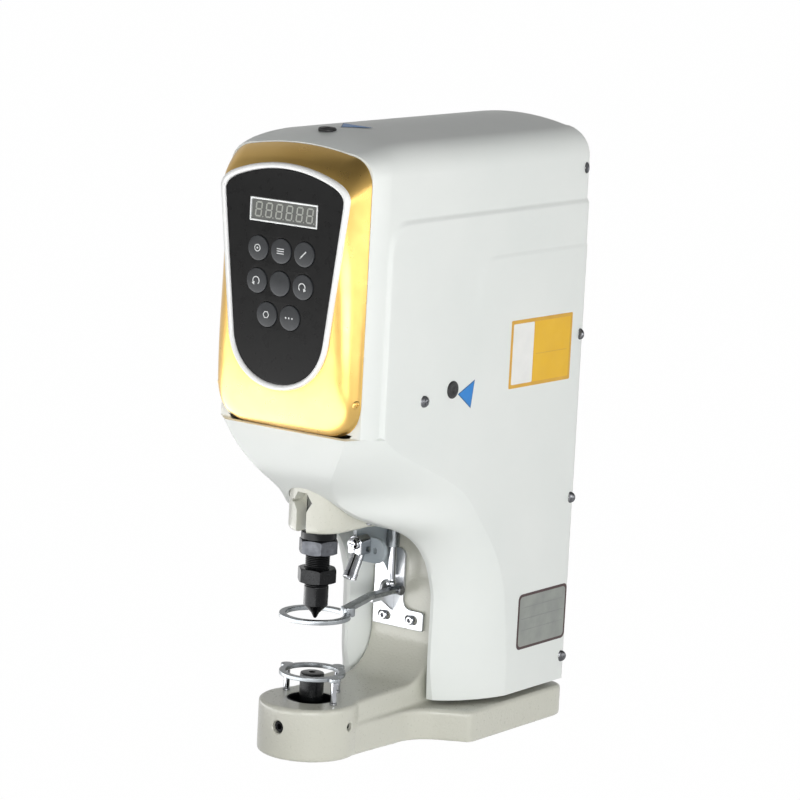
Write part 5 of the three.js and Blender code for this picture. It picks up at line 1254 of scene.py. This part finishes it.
def makeLamp(form):
    front, rear = form["bar"]
    low, high = form["z"] - form["halfHeight"], form["z"] + form["halfHeight"]
    hookY, hookZ = form["hook"]
    gap = form["gap"]
    corner, radius = form["columnFront"] - form["throat"], form["throat"] - gap
    web = [(front, form["top"]), (front, low), (rear, low)]
    web += bezierLine([(rear, low), (hookY - 16, low + 8), (hookY, hookZ)], 16)
    web += [(hookY, hookZ), (hookY + 4, hookZ), (form["plateFront"] - gap, form["plateTop"])]
    web += arc(corner, form["top"] + gap - form["throat"], radius, 2, 88, 12)
    webPiece = slab("lampWeb", [web], *form["web"], 0.6, "side", 2)
    left, right, half = form["web"][0], form["right"], form["halfHeight"]
    bar = roundLoop([(left, low), (right + half, low, half - 0.1), (right + half, high, half - 0.1), (left, high)],
                    12)
    x, z = form["pivot"]
    bore = form["pivotBore"]
    barPiece = slab("lampBracket", [bar, circleLoop(form["hole"], right, form["z"], 32), circleLoop(bore, x, z, 24)],
                    front, rear, 0.6, "front", 2)
    combine(barPiece, [webPiece], "UNION")
    finishPiece(barPiece, "frame", "bluegreyPaint", ["lamp_bracket"], 30)

    half, y0, y1 = form["block"]
    lowZ, middle, slit = z - half - 3, (y0 + y1) / 2, form["slit"]
    shoulder = half * 0.9
    block = roundLoop([(x - half, lowZ, 1.5), (x + half, lowZ, 1.5), (x + half, z + half, shoulder),
                       (x - half, z + half, shoulder)], 10)
    block = slab("lampClamp", [block], y0, y1, 1.2, "front", 4)
    cut = slab("slit", [boxLoop(x - slit, x + slit, lowZ - 1, z - 2)], y0 - 1, y1 + 1, 0, "front")
    combine(block, [cut, place(rod("hole", bore, -10, 10, 32), ("X", 90), (x, middle, z))])
    mouth, tilt = (x, middle, z - half), ("X", -form["tilt"])
    r, length = form["radius"], form["length"]
    combine(block, [place(rod("socket", r + gap, -length, 0, 40), tilt, mouth)])
    finishPiece(block, "lamp", "chromePlate", ["lamp_clamp"], 30)

    capR, capLength = form["cap"]
    profile = [(0, -length + 1.6), (4.2, -length + 1.6), (4.7, -length + 0.4), (capR - 0.5, -length),
               (capR, -length + 0.6)]
    for k in range(form["capRings"]):
        z0 = -length + 1.6 + k * form["capPitch"]
        profile += [(capR, z0), (capR - 0.3, z0 + 0.25), (capR - 0.3, z0 + 0.65), (capR, z0 + 0.9)]
    end = -length + capLength
    profile += [(capR, end - 0.4), (capR - 0.4, end), (r, end + 0.2), (r, -9.5), (r - 0.35, -9.2), (r - 0.35, -8.6),
                (r, -8.3), (r, -1), (r - 0.7, -0.3), (0, -0.3)]
    barrel = place(lathe("lampBarrel", profile, 56), tilt, mouth)
    finishPiece(barrel, "lamp", "chromePlate", ["lamp_tube"], 30)
    head = lathe("lampKnob", [(0, 0), (2.4, 0), (2.4, 4), (2.4, 19.2), (5.4, 19.2), (5.4, 21.4), (4.9, 22.4),
                              (3.4, 22.9), (0, 23)], 48)
    screw = place(combine(head, [crossCut(*form["recess"], 21.2, 24)]), ("X", 90), (x, rear, z))
    finishPiece(screw, "frame", "chromePlate", ["lamp_screw"], 30)


makeLamp(lampForm)
print("lamp made")


# screws, plugs and stickers on the shell

screwForm = dict(radius=5, height=2.6, cross=(2.75, 0.6), recess=1.3, flank=80, drop=3, dropAbove=458.5, rearY=257,
                 shares=(0.042, 0.331, 0.624, 0.917), top=526, bottom=31, front=(28, 306), turnStep=23.0)


def panScrew(name, form):
    # along +Z from its seat
    r, tall = form["radius"], form["height"]
    profile = [(0, 0), (r - 0.3, 0), (r, 0.25)]
    profile += [(r * math.cos(a), 0.25 + (tall - 0.25) * math.sin(a))
                for a in (math.pi / 2 * k / 9 for k in range(1, 9))]
    head = lathe(name, profile + [(0, tall)], 40)
    return combine(head, [crossCut(*form["cross"], tall - screwForm["recess"], tall + 1)])


def makeCoverScrews(form):
    heights = [form["bottom"] + share * (form["top"] - form["bottom"]) for share in form["shares"]]
    places = [form["front"]] + [(form["rearY"], z) for z in heights]
    for side, turn in ((1, 90), (-1, -90)):
        for i, (y, z) in enumerate(places, 1):
            if side < 0 and i == 1:
                continue  # the front one is on the right alone
            x = form["flank"] - (form["drop"] if z > form["dropAbove"] else 0)
            turns = [("X", form["turnStep"] * i), ("Y", turn)]
            screw = place(panScrew(f"coverScrew{side}_{i}", form), turns, (side * x, y, z))
            finishPiece(screw, "frame", "screwSteel", [f"cover_screw_{i}"] if side > 0 else (), 35)


makeCoverScrews(screwForm)

plugForm = dict(radius=7.5, proud=1.6, topProud=2.5, dimple=2.6, side=(80, 68, 311.5), top=(0, -15, 523.93))


def makePlugs(form):
    r, dimple = form["radius"], form["dimple"]
    for name, turn, at, proud in (("side_oil_plug", ("Y", 90), form["side"], form["proud"]),
                                  ("top_oil_plug", None, form["top"], form["topProud"])):
        profile = [(0, -0.6), (r - 0.2, -0.6), (r, 0.1), (r, proud * 0.45), (r - 0.5, proud * 0.85),
                   (r - 1.3, proud), (dimple + 1.6, proud), (dimple + 1.0, proud - 0.4), (dimple, proud - 0.5),
                   (dimple - 0.4, proud - 1.1), (0, proud - 1.25)]
        plug = place(lathe("oilPlug", profile, 56, 0.15), turn, at)
        finishPiece(plug, "frame", "plugRubber", [name], 50)


makePlugs(plugForm)

# label and plate are (y, y, z, z)
stickerForm = dict(
    thick=0.12, flank=80.02, sideTriangle=((76.2, 306.8), (100.0, 316.7), (95.7, 292.7)),
    topTriangle=((1.5, 1.2), (-15, 26), (20, 20)), topSeat=526.02, markRim=0.9,
    label=(150.8, 244.0, 302.6, 361.2), labelRim=3.2, labelSplit=0.37, labelLean=-0.008, labelCorner=1.2,
    ruleShare=0.46, ruleInset=4, ruleWidth=0.5, splitGap=0.7,
    plate=(185.5, 260.5, 68.4, 117.7), plateRim=2.4, plateCorner=5, plateRules=3, plateInset=3, plateRuleWidth=0.35)


def makeStickers(form):
    thick, rim, inset = form["thick"], form["labelRim"], form["ruleInset"]

    def stick(name, loop, layer, finish, base=form["flank"], layout="side"):
        low = base + layer * thick
        finishPiece(slab(name, [loop], low, low + thick, 0, layout), "frame", finish)

    for mark, triangle, base, layout in (("oilMark", form["sideTriangle"], form["flank"], "side"),
                                         ("topMark", form["topTriangle"], form["topSeat"], "plan")):
        inward = triangle if loopArea(triangle) > 0 else triangle[::-1]
        stick(mark + "Rim", triangle, 0, "deepBlueFoil", base, layout)
        stick(mark, shiftLoop(inward, form["markRim"]), 1, "blueFoil", base, layout)

    y0, y1, z0, z1 = form["label"]
    split, middle = y0 + (y1 - y0) * form["labelSplit"], z0 + form["ruleShare"] * (z1 - z0)
    for name, left, right, low, high, layer, finish in (
            ("labelRim", y0, y1, z0, z1, 0, "amberBorder"),
            ("labelLeft", y0 + rim, split, z0 + rim, z1 - rim, 1, "whiteFoil"),
            ("labelRight", split + form["splitGap"], y1 - rim, z0 + rim, z1 - rim, 1, "yellowFoil"),
            ("labelRule", split + inset, y1 - rim - inset, middle, middle + form["ruleWidth"], 2, "amberBorder")):
        loop = boxLoop(left, right, low, high, form["labelCorner"], 3)
        stick(name, [(y, z + form["labelLean"] * (y - y0)) for y, z in loop], layer, finish)

    y0, y1, z0, z1 = form["plate"]
    rim, corner, inset = form["plateRim"], form["plateCorner"], form["plateInset"]
    stick("plateBorder", boxLoop(y0, y1, z0, z1, corner, 6), 0, "plateInk")
    stick("plateField", boxLoop(y0 + rim, y1 - rim, z0 + rim, z1 - rim, corner - rim / 2, 6), 1, "plateTin")
    for k in range(1, form["plateRules"] + 1):
        z = z1 - rim - k * (z1 - z0 - 2 * rim) / 4.4
        stick(f"plateRule{k}", boxLoop(y0 + rim + inset, y1 - rim - inset, z, z + form["plateRuleWidth"]), 2,
              "plateRule")


makeStickers(stickerForm)

bezelScrewForm = dict(radius=3.6, height=1.5, cross=(2.0, 0.45), at=(70.3, -52.6, 311), lean=20)


def makeBezelScrews(form):
    x, y, z = form["at"]
    for side in (1, -1):
        turns = [("Y", 90 * side), ("Z", -form["lean"] * side)]
        screw = place(panScrew("bezelScrew", form), turns, (side * x, y, z))
        finishPiece(screw, "frame", "goldPaint", (), 35)


makeBezelScrews(bezelScrewForm)

headScrewForm = dict(radius=4.4, height=3.6, stem=(2.5, 6), socket=(2.2, 2.2), at=(26, 33, 197))


def makeHeadScrew(form):
    r, tall, (stem, length), (socket, deep) = form["radius"], form["height"], form["stem"], form["socket"]
    head = lathe("headScrew", [(0, -length), (stem, -length), (stem, 0), (r - 0.3, 0), (r, 0.3), (r, tall - 0.5),
                               (r - 0.5, tall), (0, tall)], 40)
    combine(head, [slab("socket", [circleLoop(socket, 0, 0, 6)], tall - deep, tall + 1)])
    finishPiece(place(head, ("Y", 90), form["at"]), "frame", "chromePlate", (), 35)


makeHeadScrew(headScrewForm)


# rear panel, switch and gland

# vent is (length, width, pitch, count, first height)
rearForm = dict(front=259.5, back=262, half=73.5, low=31.4, gap=3.5, squash=0.955, vent=(60, 4, 10, 6, 400),
                switch=(-40, 150), switchHalf=(10.5, 15), switchDepths=(12, 18), flange=2, throw=2.2, slack=0.3,
                gland=(40, 150), glandBore=8.3, screws=((-66, 60), (66, 60), (-66, 480), (66, 480)),
                screw=dict(radius=3.8, height=1.9, cross=(2.1, 0.5)))


def makeRearPanel(form, shell):
    base, shoulder = shell["shoulderZ"], shell["shoulder"] - form["gap"]
    top, half = shell["topEdge"] - form["gap"], form["half"]
    squash, slack = form["squash"], form["slack"]
    right = [(half - shoulder + shoulder * math.cos(a), base + (top - base) * math.sin(a) * squash)
             for a in (math.pi / 2 * k / 12 for k in range(13))]
    crown = [((half - shoulder) * (1 - k / 8), base + (top - base + shell["crown"] * (1 - (1 - k / 8) ** 2)) * squash)
             for k in range(1, 9)]
    upper = right + crown
    outline = [(half, form["low"])] + upper + [(-u, w) for u, w in reversed(upper[:-1])] + [(-half, form["low"])]
    length, width, pitch, count, first = form["vent"]
    holes = [boxLoop(-length / 2, length / 2, z - width / 2, z + width / 2, width / 2 - 0.01, 6)
             for z in (first + pitch * i for i in range(count))]
    (x, z), (w, h) = form["switch"], form["switchHalf"]
    holes.append(boxLoop(x - w - slack, x + w + slack, z - h - slack, z + h + slack, 1, 3))
    holes.append(circleLoop(form["glandBore"], *form["gland"], 40))
    panel = slab("rearPanel", [outline] + holes, form["front"], form["back"], 0.5, "front", 2)
    finishPiece(panel, "frame", "shellPlastic", ["rear_panel"], 35)
    for u, w in form["screws"]:
        screw = place(panScrew("panelScrew", form["screw"]), ("X", -90), (u, form["back"], w))
        finishPiece(screw, "frame", "screwSteel", (), 35)


makeRearPanel(rearForm, shellForm)


def makeSwitch(form):
    (x, z), (w, h) = form["switch"], form["switchHalf"]
    flange, throw, back, slack = form["flange"], form["throw"], form["back"], form["slack"]
    innerW, innerH = w - 2 * flange, h - 2 * flange
    face = back + slack + flange
    bodyDeep, trayDeep = form["switchDepths"]
    body = boxLoop(x - w, x + w, z - h, z + h, 0.8, 3)
    outer = boxLoop(x - w - flange, x + w + flange, z - h - flange, z + h + flange, 3, 5)
    hole = boxLoop(x - innerW - slack, x + innerW + slack, z - innerH - 0.6, z + innerH + 0.6, 0.6, 3)
    parts = [slab("switchFlange", [outer, hole], back + 0.1, face, 0.8, "front", 4),
             slab("switchBody", [body, hole], back - bodyDeep, back + 0.4, 0, "front"),
             slab("switchTray", [body], back - trayDeep, back - bodyDeep + 0.1, 0.4, "front")]
    finishPiece(joinUp("powerSwitch", parts), "frame", "switchPlastic", ["power_switch"], 35)
    reach = face + throw / 2 - (back - throw)
    low, high = -innerH + slack, innerH - slack
    side = [(0, low), (reach, low), (reach - throw / 2, 0), (reach, high), (0, high), (-throw, 0)]
    rocker = slab("switchRocker", [roundLoop([(y, v, 1.0 if y > 1 and v else 0.3) for y, v in side], 4)],
                  -innerW, innerW, 0.5, "side", 3)
    pieces = [(rocker, "plugRubber", ["switch_rocker"])]
    tilt = math.degrees(math.atan(throw / innerH) / 2)
    slope = math.degrees(math.atan(throw / 2 / high))
    for name, loops, lean, height in (
            ("switchOnMark", [boxLoop(-0.5, 0.5, -2.4, 2.4)], -slope, high / 2),
            ("switchOffMark", [circleLoop(2.4, 0, 0, 32), circleLoop(1.7, 0, 0, 32)], slope, low / 2)):
        mark = slab(name, loops, -0.2, 0.12, 0, "front")
        pieces.append((place(mark, ("X", lean), (0, reach - throw / 4, height)), "iconPrint", ()))
    for piece, finish, stands in pieces:
        place(piece, ("X", tilt), (x, back - throw, z))
        finishPiece(piece, "rocker", finish, stands, 35)


makeSwitch(rearForm)


glandForm = dict(bore=4, thread=7.8, inside=15, collar=12, rib=(8.1, 0.28), ribs=(6.4, 1.75), ribCount=5,
                 hexagon=10.6, hexHole=7.0, hexTop=6.2, end=16)


def makeGland(form, shape):
    x, z = form["gland"]
    bore, thread, collar, end = shape["bore"], shape["thread"], shape["collar"], shape["end"]
    profile = [(bore, -shape["inside"]), (thread, -shape["inside"]), (thread, 0.3), (collar, 0.3), (collar, 1.6),
               (collar - 0.6, 2.3), (9.2, 2.4)]
    (widest, taper), (start, pitch) = shape["rib"], shape["ribs"]
    for k in range(shape["ribCount"]):
        low, radius = start + k * pitch, widest - k * taper
        profile += [(radius, low), (radius, low + 1.0), (radius - 0.9, low + 1.15), (radius - 0.9, low + 1.7)]
    profile += [(6.4, end - 0.4), (6.1, end), (bore + 0.3, end), (bore, end - 0.3)]
    gland = lathe("cableGland", profile, 56)
    nut = slab("glandHex", [circleLoop(shape["hexagon"], 0, 0, 6), circleLoop(shape["hexHole"], 0, 0, 40)], 2.2,
               shape["hexTop"], 0.5)
    gland = place(joinUp("cableGland", [gland, nut]), ("X", -90), (x, form["back"], z))
    finishPiece(gland, "frame", "plugRubber", ["cable_gland"], 35)


makeGland(rearForm, glandForm)


# the drive behind the covers keeps the frame's own solids

innerFinishes = dict(
    thrust_bridge="groundSteel", screw_bearing="chromePlate", ball_nut="groundSteel", drive_screw="groundSteel",
    servo_drive="driveAluminium", ram_bush="bushBronze", control_board="boardLacquer", servo_motor="motorEnamel",
    guard_solenoid="motorEnamel")
for nodeName, finishName in innerFinishes.items():
    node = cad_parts[nodeName]
    node.data.materials.clear()
    node.data.materials.append(finishes[finishName])
print("outer fittings and inner finishes made")
